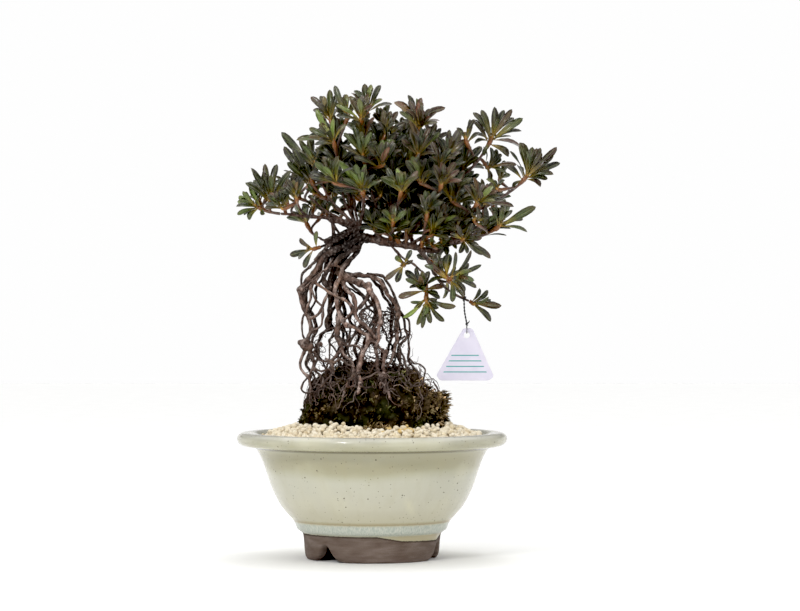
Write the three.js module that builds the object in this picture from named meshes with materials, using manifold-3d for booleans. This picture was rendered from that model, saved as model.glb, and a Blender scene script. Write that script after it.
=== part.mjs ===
// Satsuki azalea bonsai in a round glazed pot. Millimetres, +Z up.
// Everything is laid out round the pot's axis, with z = 0 at the underside of the feet and -Y at the
// front. At the end the whole group is shifted so that the middle of its footprint is the origin.
import * as THREE from 'three';
import { mergeVertices } from 'three/addons/utils/BufferGeometryUtils.js';
import Module from 'manifold-3d';

const wasm = await Module();
wasm.setup();

// ---------------------------------------------------------------- driving dimensions
const GAP = 0.3; // clear space between touching pieces
const FUSE_TOLERANCES = [0.05, 0.06, 0.04, 0.03, 0.02, 0.01]; // facets this small are merged after fusing
const ROUNDING = 0.01;
const POT_LIP_R = 135; // a "27 cm" bonsai pot, measured over the lip
const POT_HEIGHT = 126;
const POT_FLOOR_TOP = 34;
const POT_FLOOR_UNDER = 24;
const POT_SIDES = 32;
const DRAIN_HOLE_R = 12.5;
const FOOT_NOTCH_ANGLES = [-133, -13, 107]; // degrees from +X, the middle of each cut in the foot ring
const FOOT_NOTCH_HALF_WIDTH = 7;
const FOOT_NOTCH_TOP = 16;

const SCREEN_R = 18;
const SCREEN_THICKNESS = 1.4;
const SCREEN_MESH = 8; // from one opening in the net to the next
const SCREEN_RIB = 2;

const MOUND_CENTRE_X = 1;
const MOUND_HALF_WIDTH = 72; // the old root ball, across
const MOUND_HALF_DEPTH = 62; // and front to back
const MOUND_BASE = 128;
const MOUND_RISE = 62;
const MOUND_LUMP = 2.2;
const SOCKET_FLOOR = 104; // the root ball stands this deep in the soil
const SOIL_EDGE_TOP = 122;
const SOIL_CROWN = 134;
const GRAIN_RELIEF = 1.5;

const WOOD_STEP = 19; // length of one span of a root or limb

const LEAF_WIDTH_RATIO = 0.3; // leaf width over leaf length
const LEAF_KEEL = 1.2; // depth of the folded midrib below the blade's edges
const LEAF_WIDEST = 0.6; // where along a leaf it is widest
const LEAF_BOW = 0.07; // how far a leaf arches above its chord, over its length
const BUD_R = 2.4;
const LEAF_SEAT = 0.3; // a leaf starts this far from the bud's middle, over the bud's radius
const SHOOT_END_R = 0.8;
const SHOOT_SIDE_R = 1.05;
const SHOOT_STEP = 20;
const SHOOT_SIDES = 4;
const SHOOT_FORKS = [0, 0.3, 0.5]; // where the second and third shoot leave the first
const CLEARANCE_SIZE = 0.5; // a leaf is tested this much fatter than it is

const TAG_THICKNESS = 1;
const TAG_HOLE_R = 3;
const TAG_HOLE_X = 94.5;
const TAG_HOLE_Z = 223;
const WIRE_R = 0.6;
const TAG_LOOP_R = 4.6; // the wire's loop through the label

// ---------------------------------------------------------------- small helpers
const vec = (p) => new THREE.Vector3(p[0], p[1], p[2]);
const lerp = THREE.MathUtils.lerp;
const radians = THREE.MathUtils.degToRad;
const UP = new THREE.Vector3(0, 0, 1);

// A repeatable draw from 0 to 1 for item k of list seed.
function draw(k, seed) {
  const s = Math.sin(k * 12.9898 + seed * 78.233) * 43758.5453;
  return s - Math.floor(s);
}

function toManifold(geometry) {
  const bare = geometry.clone();
  for (const name of Object.keys(bare.attributes)) {
    if (name !== 'position') bare.deleteAttribute(name);
  }
  const merged = mergeVertices(bare, 1e-4);
  const faces = [];
  for (let i = 0; i < merged.index.count; i += 3) {
    const [a, b, c] = merged.index.array.slice(i, i + 3);
    if (a !== b && b !== c && c !== a) faces.push(a, b, c);
  }
  return new wasm.Manifold(new wasm.Mesh({
    numProp: 3,
    vertProperties: new Float32Array(merged.attributes.position.array),
    triVerts: new Uint32Array(faces),
  }));
}

function toGeometry(solid) {
  const mesh = solid.getMesh();
  const geometry = new THREE.BufferGeometry();
  geometry.setAttribute('position', new THREE.BufferAttribute(mesh.vertProperties, 3));
  geometry.setIndex(new THREE.BufferAttribute(mesh.triVerts, 1));
  geometry.computeVertexNormals();
  return geometry;
}

// True if the solid's mesh is still closed once its points are rounded to a hundredth.
function staysClosed(solid) {
  const merged = mergeVertices(toGeometry(solid).deleteAttribute('normal'), ROUNDING);
  const index = merged.index.array;
  const edges = new Map();
  for (let i = 0; i < index.length; i += 3) {
    for (let k = 0; k < 3; k += 1) {
      const a = index[i + k];
      const b = index[i + ((k + 1) % 3)];
      if (a === b) return false;
      const name = `${a} ${b}`;
      if (edges.has(name)) return false;
      edges.set(name, `${b} ${a}`);
    }
  }
  return [...edges.values()].every((back) => edges.has(back));
}

// Joins solids, keeps the largest body, drops loose scraps and merges needlessly small facets.
function fuse(solids) {
  const joined = wasm.Manifold.union(solids).asOriginal();
  let largest = null;
  for (const tolerance of FUSE_TOLERANCES) {
    const bodies = joined.simplify(tolerance).decompose();
    bodies.sort((a, b) => b.volume() - a.volume());
    [largest] = bodies;
    if (staysClosed(largest)) break;
  }
  return largest;
}

// A closed surface from rings of equal length, each a list of Vector3, with flat caps at both ends.
function fromRings(rings) {
  const count = rings[0].length;
  const points = rings.flat();
  const index = [];
  for (let i = 0; i + 1 < rings.length; i += 1) {
    for (let k = 0; k < count; k += 1) {
      const a = i * count + k;
      const b = i * count + ((k + 1) % count);
      index.push(a, b, b + count, a, b + count, a + count);
    }
  }
  const last = (rings.length - 1) * count;
  for (let k = 1; k + 1 < count; k += 1) {
    index.push(0, k + 1, k);
    index.push(last, last + k, last + k + 1);
  }
  const geometry = new THREE.BufferGeometry().setFromPoints(points);
  geometry.setIndex(index);
  return geometry;
}

const spanCount = (curve, step) => Math.max(2, Math.round(curve.getLength() / step));

// A tapered tube along a smooth curve, flat at both ends.
function taperedTube(curve, startR, endR, sides, step) {
  const spans = spanCount(curve, step);
  const frames = curve.computeFrenetFrames(spans, false);
  const rings = [];
  for (let i = 0; i <= spans; i += 1) {
    const centre = curve.getPointAt(i / spans);
    const r = lerp(startR, endR, i / spans);
    const ring = [];
    for (let k = 0; k < sides; k += 1) {
      const angle = (2 * Math.PI * k) / sides;
      const offset = frames.normals[i].clone().multiplyScalar(r * Math.cos(angle));
      offset.addScaledVector(frames.binormals[i], r * Math.sin(angle));
      ring.push(centre.clone().add(offset));
    }
    rings.push(ring);
  }
  return toManifold(fromRings(rings));
}

const smoothCurve = (points) => new THREE.CatmullRomCurve3(points.map(vec), false, 'centripetal');

// ---------------------------------------------------------------- pot
function potProfile() {
  // Radius and height, anticlockwise seen with +radius to the right: foot, body, lip, inside, recess.
  const foot = [[57, 0], [65.2, 0], [67.2, 4], [69.2, 26.3]];
  const bead = [[73.8, 28.8], [77.2, 36]];
  const body = [[92, 54.3], [101.4, 73.7], [111, 100], [116.4, 110.5]];
  const lip = [[126, 111.8], [133.5, 115.5], [POT_LIP_R, 120], [132.5, 124.4], [125, POT_HEIGHT],
    [110, 117]];
  const inside = [[100, 86], [84, 54], [71, 42], [57, POT_FLOOR_TOP]];
  const drain = [[DRAIN_HOLE_R, POT_FLOOR_TOP], [DRAIN_HOLE_R, POT_FLOOR_UNDER]];
  const recess = [[54, POT_FLOOR_UNDER], [57, 20]];
  return [...foot, ...bead, ...body, ...lip, ...inside, ...drain, ...recess, foot[0]];
}

function lathe(profile) {
  const points = profile.map(([r, z]) => new THREE.Vector2(r, z));
  const geometry = new THREE.LatheGeometry(points, POT_SIDES);
  geometry.rotateX(Math.PI / 2); // the lathe's axis is Y: stand it up along Z
  return geometry;
}

function footNotch(angle) {
  // A cloud-shaped cut: straight at the floor, arched at the top, run out through the foot ring.
  const w = FOOT_NOTCH_HALF_WIDTH;
  const arch = new THREE.Shape();
  arch.moveTo(-w - 3, -1);
  arch.lineTo(w + 3, -1);
  arch.quadraticCurveTo(w, 1.5, w - 1, 6);
  arch.quadraticCurveTo(w - 2, FOOT_NOTCH_TOP, 0, FOOT_NOTCH_TOP);
  arch.quadraticCurveTo(2 - w, FOOT_NOTCH_TOP, 1 - w, 6);
  arch.quadraticCurveTo(-w, 1.5, -w - 3, -1);
  const cut = new THREE.ExtrudeGeometry(arch, { depth: 40, bevelEnabled: false, curveSegments: 4 });
  cut.rotateX(Math.PI / 2); // arch upright, run along -Y
  cut.translate(0, -45, 0);
  cut.rotateZ(radians(angle + 90));
  return toManifold(cut);
}

function makePot() {
  let pot = toManifold(lathe(potProfile()));
  for (const angle of FOOT_NOTCH_ANGLES) pot = pot.subtract(footNotch(angle));
  return toGeometry(pot);
}

// The plastic net over the drain hole, lying on the pot's floor.
function makeScreen() {
  const middleZ = POT_FLOOR_TOP + GAP + SCREEN_THICKNESS / 2;
  const disc = new THREE.CylinderGeometry(SCREEN_R, SCREEN_R, SCREEN_THICKNESS, 24);
  disc.rotateX(Math.PI / 2);
  disc.translate(0, 0, middleZ);
  let net = toManifold(disc);
  for (const i of [-1, 0, 1]) {
    for (const j of [-1, 0, 1]) {
      const opening = new THREE.BoxGeometry(SCREEN_MESH - SCREEN_RIB, SCREEN_MESH - SCREEN_RIB, 4);
      opening.translate(i * SCREEN_MESH, j * SCREEN_MESH, middleZ);
      net = net.subtract(toManifold(opening));
    }
  }
  return toGeometry(net);
}

// ---------------------------------------------------------------- soil and root ball
// Edge of the root ball's footprint at an angle, grown by a margin.
function moundEdge(angle, margin) {
  return new THREE.Vector3(
    MOUND_CENTRE_X + (MOUND_HALF_WIDTH + margin) * Math.cos(angle),
    (MOUND_HALF_DEPTH + margin) * Math.sin(angle),
    0,
  );
}

// The heaped kanuma: a bowl of soil with a grainy top and a plain socket for the root ball.
function makeSoil() {
  const sides = POT_SIDES;
  const belowLip = [[1, 34], [56, 34], [70.5, 42.3], [83.5, 54.3], [99.6, 86.3], [109.6, 117]];
  const wallClear = GAP;
  const outer = belowLip.map(([r, z]) => Array.from({ length: sides }, (_, k) => {
    const angle = (2 * Math.PI * k) / sides;
    const reach = Math.max(r - wallClear, 1);
    return new THREE.Vector3(reach * Math.cos(angle), reach * Math.sin(angle), z + GAP);
  }));
  const rows = 4;
  const top = [];
  for (let i = 0; i <= rows; i += 1) {
    const t = i / rows;
    top.push(Array.from({ length: sides }, (_, k) => {
      const angle = (2 * Math.PI * k) / sides;
      const rim = new THREE.Vector3(109.4 * Math.cos(angle), 109.4 * Math.sin(angle), 0);
      const p = rim.lerp(moundEdge(angle, GAP * 1.5), t);
      const grain = i === rows ? 0 : (draw(i * sides + k, 3) - 0.5) * 2 * GRAIN_RELIEF;
      p.z = lerp(SOIL_EDGE_TOP, SOIL_CROWN, Math.sqrt(t)) + grain;
      return p;
    }));
  }
  const socket = Array.from({ length: sides }, (_, k) => {
    const p = moundEdge((2 * Math.PI * k) / sides, GAP * 1.5);
    p.z = SOCKET_FLOOR;
    return p;
  });
  const soil = toManifold(fromRings([...outer, ...top, socket]));
  const screenRoom = new THREE.CylinderGeometry(SCREEN_R + 0.5, SCREEN_R + 0.5, 8, 24);
  screenRoom.rotateX(Math.PI / 2);
  screenRoom.translate(0, 0, POT_FLOOR_TOP + GAP + SCREEN_THICKNESS + GAP - 4);
  return toGeometry(soil.subtract(toManifold(screenRoom)));
}

// The old root ball: steep sides and a rounded top, z = base + rise * sqrt(1 - rho^4).
function moundSolid() {
  const sides = 26;
  const levels = 5;
  const rings = [0, 1].map((level) => Array.from({ length: sides }, (_, k) => {
    const p = moundEdge((2 * Math.PI * k) / sides, 0);
    p.z = level === 0 ? SOCKET_FLOOR + GAP : MOUND_BASE;
    return p;
  }));
  for (let i = 1; i <= levels; i += 1) {
    const phi = (Math.PI / 2) * (1 - i / levels);
    const rho = Math.max(Math.sqrt(Math.sin(phi)), 0.12);
    rings.push(Array.from({ length: sides }, (_, k) => {
      const angle = (2 * Math.PI * k) / sides;
      const lump = (draw(i * sides + k, 7) - 0.5) * 2 * MOUND_LUMP;
      return new THREE.Vector3(
        MOUND_CENTRE_X + (MOUND_HALF_WIDTH * rho + lump * rho) * Math.cos(angle),
        (MOUND_HALF_DEPTH * rho + lump * rho) * Math.sin(angle),
        MOUND_BASE + MOUND_RISE * Math.cos(phi) + (i < levels ? lump : 0),
      );
    }));
  }
  return toManifold(fromRings(rings));
}

// ---------------------------------------------------------------- wood
// Each path is { r: [radius at start, radius at end], at: [[x, y, z], ...] }.
const TRUNK = { r: [9.5, 9], at: [[-35, 1, 268], [-36, 0, 284], [-32, 0, 301], [-24, 0, 316], [-16, 0, 330]] };
const BURLS = [[-28, -3, 305, 12.5], [-17, -3, 322, 10], [-16, -6, 306, 5], [-38, -5, 300, 8],
  [-67, -18, 214, 7.5], [-59, -20, 227, 4], [-50, -21, 214, 3], [-2, -27, 274, 4.5], [-30, -20, 224, 4]];

const ROOTS = [
  { r: [4.5, 3], at: [[-32, -2, 306], [-48, -8, 292], [-64, -12, 277], [-71, -14, 266], [-67, -16, 246], [-63, -17, 230], [-67, -18, 212]] },
  { r: [1.5, 1.2], at: [[-30, -8, 316], [-53, -14, 309], [-61, -16, 295], [-70, -16, 282], [-71, -14, 266]] },
  { r: [1.8, 1.5], at: [[-38, -8, 296], [-50, -18, 284], [-62, -23, 273], [-63, -24, 255], [-65, -18, 238]] },
  { r: [1.3, 1.1], at: [[-62, -23, 273], [-53, -28, 256], [-50, -30, 241], [-54, -27, 231], [-62, -18, 224]] },
  { r: [1.8, 1.5], at: [[-40, -6, 278], [-45, -16, 260], [-52, -20, 247], [-64, -17, 232]] },
  { r: [2.6, 1.8], at: [[-36, 2, 280], [-40, 0, 257], [-43, -4, 238], [-43, -12, 222], [-41, -22, 202], [-44, -32, 172]] },
  { r: [2.6, 3.4], at: [[-34, -4, 286], [-31, -10, 278], [-36, -16, 256], [-32, -18, 238], [-34, -19, 224]] },
  { r: [3.4, 2], at: [[-34, -19, 226], [-35, -22, 218], [-30, -26, 208], [-31, -31, 194], [-32, -36, 172]] },
  { r: [2.2, 1.8], at: [[-36, -16, 256], [-28, -18, 242], [-15, -22, 230], [-5, -25, 217], [-8, -29, 204], [-13, -38, 172]] },
  { r: [1.3, 1.1], at: [[-5, -25, 217], [11, -31, 212], [13, -34, 203], [4, -39, 192], [-8, -42, 170]] },
  { r: [2.2, 1.8], at: [[-30, -2, 278], [-18, -8, 262], [-17, -10, 246], [-6, -13, 234], [3, -15, 214], [4, -20, 178]] },
  { r: [1.4, 1.2], at: [[-60, -14, 282], [-51, -25, 271], [-38, -30, 265], [-27, -28, 262], [-18, -8, 260]] },
  { r: [4, 2.2], at: [[-30, -4, 284], [-12, -22, 281], [-1, -28, 272], [7, -30, 254], [7, -31, 236], [9, -34, 205], [10, -40, 174]] },
  { r: [1.5, 1.2], at: [[-28, 6, 282], [-8, 12, 264], [4, 17, 252], [5, 20, 232], [0, 23, 176]] },
  { r: [3, 2], at: [[-28, 0, 286], [-4, -4, 286], [10, -6, 276], [21, -8, 255], [25, -10, 240], [22, -14, 218], [12, -22, 194], [15, -30, 168]] },
  { r: [1.7, 1.3], at: [[-4, -4, 286], [15, 8, 279], [20, 12, 265], [28, 10, 250], [33, -2, 230], [29, -12, 213], [24, -19, 196], [27, -24, 170]] },
  { r: [1.4, 1.2], at: [[28, 10, 250], [37, 7, 240], [38, 4, 226], [37, -2, 206], [46, -10, 193], [52, -16, 168]] },
  { r: [1.3, 1.1], at: [[24, -11, 236], [30, -13, 214], [37, -17, 198], [38, -26, 172]] },
  { r: [1.6, 1.2], at: [[-67, -18, 212], [-71, -23, 195], [-65, -26, 181], [-60, -26, 150]] },
  { r: [2.4, 1.8], at: [[-65, -17, 214], [-61, -16, 194], [-57, -14, 162]] },
  { r: [1.3, 1.1], at: [[-59, -20, 227], [-60, -22, 214], [-51, -27, 205], [-43, -33, 197], [-42, -38, 168]] },
  { r: [1.9, 1.4], at: [[-59, -20, 227], [-50, -21, 214], [-54, -25, 204], [-53, -32, 164]] },
  { r: [1.5, 1.2], at: [[-32, -20, 220], [-21, -27, 211], [-14, -34, 198], [-15, -44, 168]] },
  { r: [1.6, 1.2], at: [[-31, -31, 197], [-20, -37, 192], [-19, -43, 180], [-28, -48, 152]] },
];

// The far side of the cage of roots: the same growth, turned round the trunk and a little narrower.
const BACK_ROOTS = [0, 2, 5, 8, 12, 14, 15, 16, 18];
const behind = ([x, y, z]) => [lerp(-30, x, 0.9), 3 - y * 1.25, z];

const LIMBS = {
  left: { r: [2.6, 1.5], at: [[-18, -1, 331], [-44, -8, 338], [-70, -12, 341], [-91, -13, 344]] },
  leftSide: { r: [1.4, 1.2], at: [[-62, -11, 340], [-69, -18, 345], [-72, -23, 350]] },
  leftLow: { r: [1.6, 1.3], at: [[-32, -2, 312], [-45, -8, 313], [-51, -10, 311]] },
  leftUp: { r: [2, 1.5], at: [[-17, 1, 331], [-34, 6, 350], [-47, 8, 360]] },
  crownLeft: { r: [2.2, 1.6], at: [[-17, 1, 331], [-23, 1, 361], [-28, 0, 377]] },
  frontLeft: { r: [1.8, 1.4], at: [[-13, -5, 328], [-9, -19, 346], [-8, -27, 355]] },
  main: { r: [5.5, 2], at: [[-18, 0, 322], [8, 0, 319], [40, 0, 315], [62, -2, 307], [70, -6, 311], [82, -12, 317]] },
  crownMid: { r: [2, 1.5], at: [[5, 0, 320], [4, 0, 350], [-1, 0, 371]] },
  crownRight: { r: [2.3, 1.5], at: [[5, 0, 320], [22, -4, 344], [32, -4, 374]] },
  frontMid: { r: [1.5, 1.2], at: [[21, -4, 342], [25, -24, 350], [26, -34, 354]] },
  upperRight: { r: [1.7, 1.4], at: [[27, -4, 357], [46, 2, 371], [59, 4, 378]] },
  right: { r: [2.5, 1.5], at: [[33, 0, 316], [53, 3, 344], [68, 5, 362], [87, 5, 378]] },
  frontRight: { r: [1.5, 1.3], at: [[56, 3, 347], [62, -18, 356], [64, -29, 361]] },
  rightTip: { r: [2.3, 1.5], at: [[40, 0, 315], [68, -2, 329], [98, -4, 344], [121, -5, 356]] },
  rightFront: { r: [1.5, 1.2], at: [[88, -4, 340], [96, -20, 345], [99, -29, 348]] },
  rightMid: { r: [1.8, 1.4], at: [[73, -7, 312], [90, -9, 316], [103, -8, 320]] },
  lowRight: { r: [2.4, 1.3], at: [[48, -1, 313], [57, -6, 295], [70, -10, 274], [82, -12, 264], [97, -14, 257]] },
  lowRightSide: { r: [1.4, 1.2], at: [[67, -9, 278], [73, -18, 276], [75, -23, 276]] },
  low: { r: [1.8, 1.3], at: [[14, -2, 318], [29, -8, 302], [42, -12, 293], [49, -15, 287]] },
  lowSide: { r: [1.3, 1.2], at: [[26, -7, 304], [29, -16, 298], [30, -20, 296]] },
  innerLeft: { r: [1.5, 1.2], at: [[16, -1, 318], [20, -14, 325], [21, -21, 328]] },
  innerRight: { r: [1.5, 1.2], at: [[47, -1, 312], [51, -15, 321], [52, -23, 327]] },
  backLeft: { r: [2.6, 1.5], at: [[-20, 3, 329], [-42, 28, 342], [-58, 50, 354]] },
  back: { r: [2.4, 1.5], at: [[-12, 3, 326], [2, 34, 342], [6, 58, 352]] },
  backRight: { r: [2.3, 1.5], at: [[24, 2, 318], [48, 34, 332], [64, 56, 344]] },
  farRight: { r: [2.2, 1.5], at: [[54, 0, 310], [84, 22, 318], [106, 36, 326]] },
  backLow: { r: [1.9, 1.4], at: [[42, 2, 313], [54, 28, 300], [64, 46, 291]] },
  backTop: { r: [2.1, 1.5], at: [[4, 2, 322], [16, 24, 358], [19, 34, 378]] },
  backLeftLow: { r: [1.8, 1.4], at: [[-30, 4, 316], [-46, 24, 318], [-56, 38, 322]] },
};

function makeWood() {
  const solids = [taperedTube(smoothCurve(TRUNK.at), TRUNK.r[0], TRUNK.r[1], 8, 12)];
  for (const [x, y, z, r] of BURLS) {
    const burl = new THREE.IcosahedronGeometry(r, r > 6 ? 1 : 0);
    burl.scale(1, 0.9, 1.12);
    burl.translate(x, y, z);
    solids.push(toManifold(burl));
  }
  for (const root of ROOTS) solids.push(pathTube(root));
  for (const k of BACK_ROOTS) solids.push(pathTube({ r: ROOTS[k].r, at: ROOTS[k].at.map(behind) }));
  for (const limb of Object.values(LIMBS)) solids.push(pathTube(limb));
  return fuse(solids);
}

function pathTube(path, grow = 0) {
  const sides = Math.max(path.r[0], path.r[1]) > 2.9 ? 6 : 5;
  return taperedTube(smoothCurve(path.at), path.r[0] + grow, path.r[1] + grow, sides, WOOD_STEP);
}

// The roots once more, fatter, to open plain holes for them in the root ball.
function rootHoles() {
  const all = [...ROOTS, ...BACK_ROOTS.map((k) => ({ r: ROOTS[k].r, at: ROOTS[k].at.map(behind) }))];
  const holes = [];
  for (const path of all) {
    const last = path.at[path.at.length - 1];
    if (last[2] > MOUND_BASE + MOUND_RISE) continue;
    holes.push(pathTube(path, GAP + 0.2));
    const tip = new THREE.OctahedronGeometry(path.r[1] * 1.5 + 1, 0);
    tip.translate(last[0], last[1], last[2]);
    holes.push(toManifold(tip));
  }
  return holes;
}

const makeRootBall = () => fuse([moundSolid().subtract(wasm.Manifold.union(rootHoles()))]);

// ---------------------------------------------------------------- leafy sprays
// Each whorl is [x, y, z, leaf length, leaf count, [tip x, tip z], ...]. Leaves with a tip reach for
// it; the rest stand round the shoot's end by rule.
const SPRAYS = {
  left_tip: { limb: 'left', whorls: [
    [-115, -14, 352, 22, 7, [-135, 345], [-123, 340], [-121, 376]],
    [-99, -24, 357, 27, 7, [-121, 387], [-109, 384], [-94, 392], [-82, 387]],
    [-106, 14, 362, 25, 6]] },
  left_mid: { limb: 'leftSide', whorls: [
    [-74, -40, 359, 22, 6, [-78, 376]], [-88, -34, 348, 20, 6]] },
  left_low: { limb: 'leftLow', whorls: [
    [-60, -16, 309, 19, 7, [-71, 319], [-55, 326], [-81, 302], [-68, 291]]] },
  left_up: { limb: 'leftUp', whorls: [
    [-62, 2, 379, 22, 6, [-75, 394]], [-57, 22, 396, 27, 6, [-72, 420]], [-40, -16, 379, 22, 6]] },
  crown_left: { limb: 'crownLeft', whorls: [
    [-38, -22, 417, 25, 6], [-42, 8, 441, 24, 7, [-60, 462], [-44, 468], [-36, 464]],
    [-22, 2, 453, 23, 6, [-37, 472]]] },
  front_left: { limb: 'frontLeft', whorls: [
    [-9, -48, 366, 26, 8, [-34, 396], [-36, 385], [2, 382], [10, 375]]] },
  crown_mid: { limb: 'crownMid', whorls: [
    [-9, -30, 402, 26, 7, [-28, 422], [-18, 431], [21, 417]],
    [-5, 8, 450, 24, 7, [-7, 474], [9, 473], [10, 459], [-16, 469]],
    [15, -14, 428, 24, 6, [12, 453], [24, 449], [32, 435]]] },
  front_mid: { limb: 'frontMid', whorls: [
    [29, -54, 365, 24, 7, [15, 388], [26, 384], [46, 384]]] },
  crown_right: { limb: 'crownRight', whorls: [
    [46, -34, 402, 28, 7, [36, 434], [51, 427], [65, 431]],
    [43, 6, 434, 30, 8, [23, 457], [38, 463], [50, 460], [68, 453], [67, 434]],
    [60, 34, 424, 26, 6]] },
  upper_right: { limb: 'upperRight', whorls: [
    [75, -10, 400, 25, 7, [64, 423], [78, 427], [87, 430]], [82, 32, 404, 25, 6]] },
  right: { limb: 'right', whorls: [
    [120, -2, 422, 26, 9, [104, 446], [123, 449], [138, 448], [150, 439], [147, 414]],
    [97, -18, 430, 18, 6], [117, 12, 390, 22, 6, [136, 385]]] },
  front_right: { limb: 'frontRight', whorls: [
    [69, -58, 372, 24, 7]] },
  right_tip: { limb: 'rightTip', whorls: [
    [155, -10, 382, 31, 9, [150, 417], [163, 409], [182, 411], [186, 394], [179, 381], [134, 404]],
    [130, 22, 378, 24, 6], [126, -26, 372, 20, 6]] },
  right_front: { limb: 'rightFront', whorls: [
    [104, -52, 354, 23, 7, [101, 378], [119, 373], [139, 350]]] },
  right_mid: { limb: 'rightMid', whorls: [
    [127, -16, 332, 27, 7, [120, 346], [162, 350], [154, 329]], [108, -32, 336, 18, 6],
    [132, 16, 338, 24, 6]] },
  right_inner: { limb: 'main', whorls: [
    [91, -38, 318, 23, 6, [113, 328], [117, 305], [96, 304]]] },
  low_right_tip: { limb: 'lowRight', whorls: [
    [103, -18, 254, 19, 7, [107, 270], [117, 267], [128, 252], [120, 239]]] },
  low_right: { limb: 'lowRightSide', whorls: [
    [79, -36, 278, 26, 8, [100, 305], [84, 305], [106, 293], [91, 261]]] },
  low: { limb: 'low', whorls: [
    [53, -28, 266, 27, 9, [28, 261], [31, 243], [46, 236], [71, 239], [80, 252], [36, 279], [70, 272]]] },
  low_side: { limb: 'lowSide', whorls: [
    [32, -34, 293, 19, 6, [13, 280], [26, 277]]] },
  inner_left: { limb: 'innerLeft', whorls: [[21, -36, 336, 18, 6, [8, 338]]] },
  inner_right: { limb: 'innerRight', whorls: [[53, -38, 338, 20, 6]] },
  back_left: { limb: 'backLeft', whorls: [
    [-82, 56, 366, 26, 7], [-62, 78, 378, 25, 6], [-46, 60, 394, 26, 6]] },
  back: { limb: 'back', whorls: [
    [-8, 90, 366, 26, 7], [18, 84, 384, 26, 6], [-22, 62, 392, 25, 6]] },
  back_right: { limb: 'backRight', whorls: [
    [88, 78, 360, 26, 7], [62, 90, 372, 25, 6], [80, 58, 388, 25, 6]] },
  far_right: { limb: 'farRight', whorls: [
    [134, 52, 338, 26, 7], [114, 66, 352, 24, 6], [126, 34, 360, 24, 6]] },
  back_low: { limb: 'backLow', whorls: [
    [76, 60, 280, 24, 6], [58, 72, 300, 24, 6]] },
  back_top: { limb: 'backTop', whorls: [
    [8, 58, 412, 26, 6], [32, 60, 428, 26, 6], [10, 36, 440, 25, 6]] },
  back_left_low: { limb: 'backLeftLow', whorls: [
    [-72, 50, 326, 23, 6], [-52, 62, 338, 22, 6]] },
};

// The flat end of a limb, as a point and the direction in which the limb leaves it.
function limbEnd(limb) {
  const curve = smoothCurve(LIMBS[limb].at);
  return { point: curve.getPointAt(1), along: curve.getTangentAt(1).normalize(), r: LIMBS[limb].r[1] };
}

// A shoot leaves its start along a direction and comes up to its whorl from below.
function shootCurve(start, along, target) {
  const reach = start.distanceTo(target);
  return new THREE.CubicBezierCurve3(
    start,
    start.clone().addScaledVector(along, reach * 0.4),
    target.clone().addScaledVector(UP, -reach * 0.12).lerp(start, 0.25),
    target,
  );
}

// One folded blade, widest past its middle: pointed at both ends, with a keel under the midrib.
function leafSolid(leaf, grow) {
  const { root, tip, side, up } = leaf;
  const along = tip.clone().sub(root);
  const length = along.length();
  const halfWidth = (length * LEAF_WIDTH_RATIO) / 2 + grow / 2;
  const keel = LEAF_KEEL + grow;
  const widest = root.clone().addScaledVector(along, LEAF_WIDEST).addScaledVector(up, LEAF_BOW * length);
  const points = [
    root.clone(),
    widest.clone().addScaledVector(side, -halfWidth).addScaledVector(up, keel * 0.4),
    widest.clone().addScaledVector(up, -keel * 0.6),
    widest.clone().addScaledVector(side, halfWidth).addScaledVector(up, keel * 0.4),
    tip.clone().addScaledVector(along.normalize(), grow),
  ];
  const faces = [[0, 1, 2], [0, 2, 3], [0, 3, 1], [4, 2, 1], [4, 3, 2], [4, 1, 3]];
  const geometry = new THREE.BufferGeometry().setFromPoints(points);
  geometry.setIndex(faces.flat());
  return toManifold(geometry);
}

// The leaves of one whorl: where each starts and ends and which way its upper face looks.
function whorlLeaves(whorl, axis, seed) {
  const [x, y, z, length, count, ...tips] = whorl;
  const root = new THREE.Vector3(x, y, z);
  const across = new THREE.Vector3(-axis.y, axis.x, 0.2).cross(axis).normalize();
  const other = axis.clone().cross(across);
  const leaves = [];
  for (let k = 0; k < count; k += 1) {
    let direction;
    let reach = length * (0.82 + 0.3 * draw(k, seed));
    if (k < tips.length) {
      const target = new THREE.Vector3(tips[k][0], y + (draw(k, seed + 5) - 0.6) * 14, tips[k][1]);
      direction = target.sub(root);
      reach = direction.length();
      direction.normalize();
    } else {
      const turn = k * 2.39996 + seed;
      const open = radians(42 + 42 * draw(k, seed + 9));
      direction = axis.clone().multiplyScalar(Math.cos(open));
      direction.addScaledVector(across, Math.sin(open) * Math.cos(turn));
      direction.addScaledVector(other, Math.sin(open) * Math.sin(turn));
    }
    leaves.push(makeLeaf(root, direction, reach, axis));
  }
  return leaves;
}

function makeLeaf(bud, direction, reach, axis) {
  const root = bud.clone().addScaledVector(direction, BUD_R * LEAF_SEAT);
  const tip = bud.clone().addScaledVector(direction, reach);
  const side = direction.clone().cross(axis);
  if (side.lengthSq() < 0.01) side.set(-direction.z, 0.3, direction.x);
  side.normalize();
  const up = side.clone().cross(direction).normalize();
  return { bud, root, tip, side, up };
}

function overlaps(a, b) {
  const first = a.boundingBox();
  const second = b.boundingBox();
  for (let k = 0; k < 3; k += 1) {
    if (first.min[k] > second.max[k] || second.min[k] > first.max[k]) return false;
  }
  return a.intersect(b).volume() > 1e-6;
}

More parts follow.
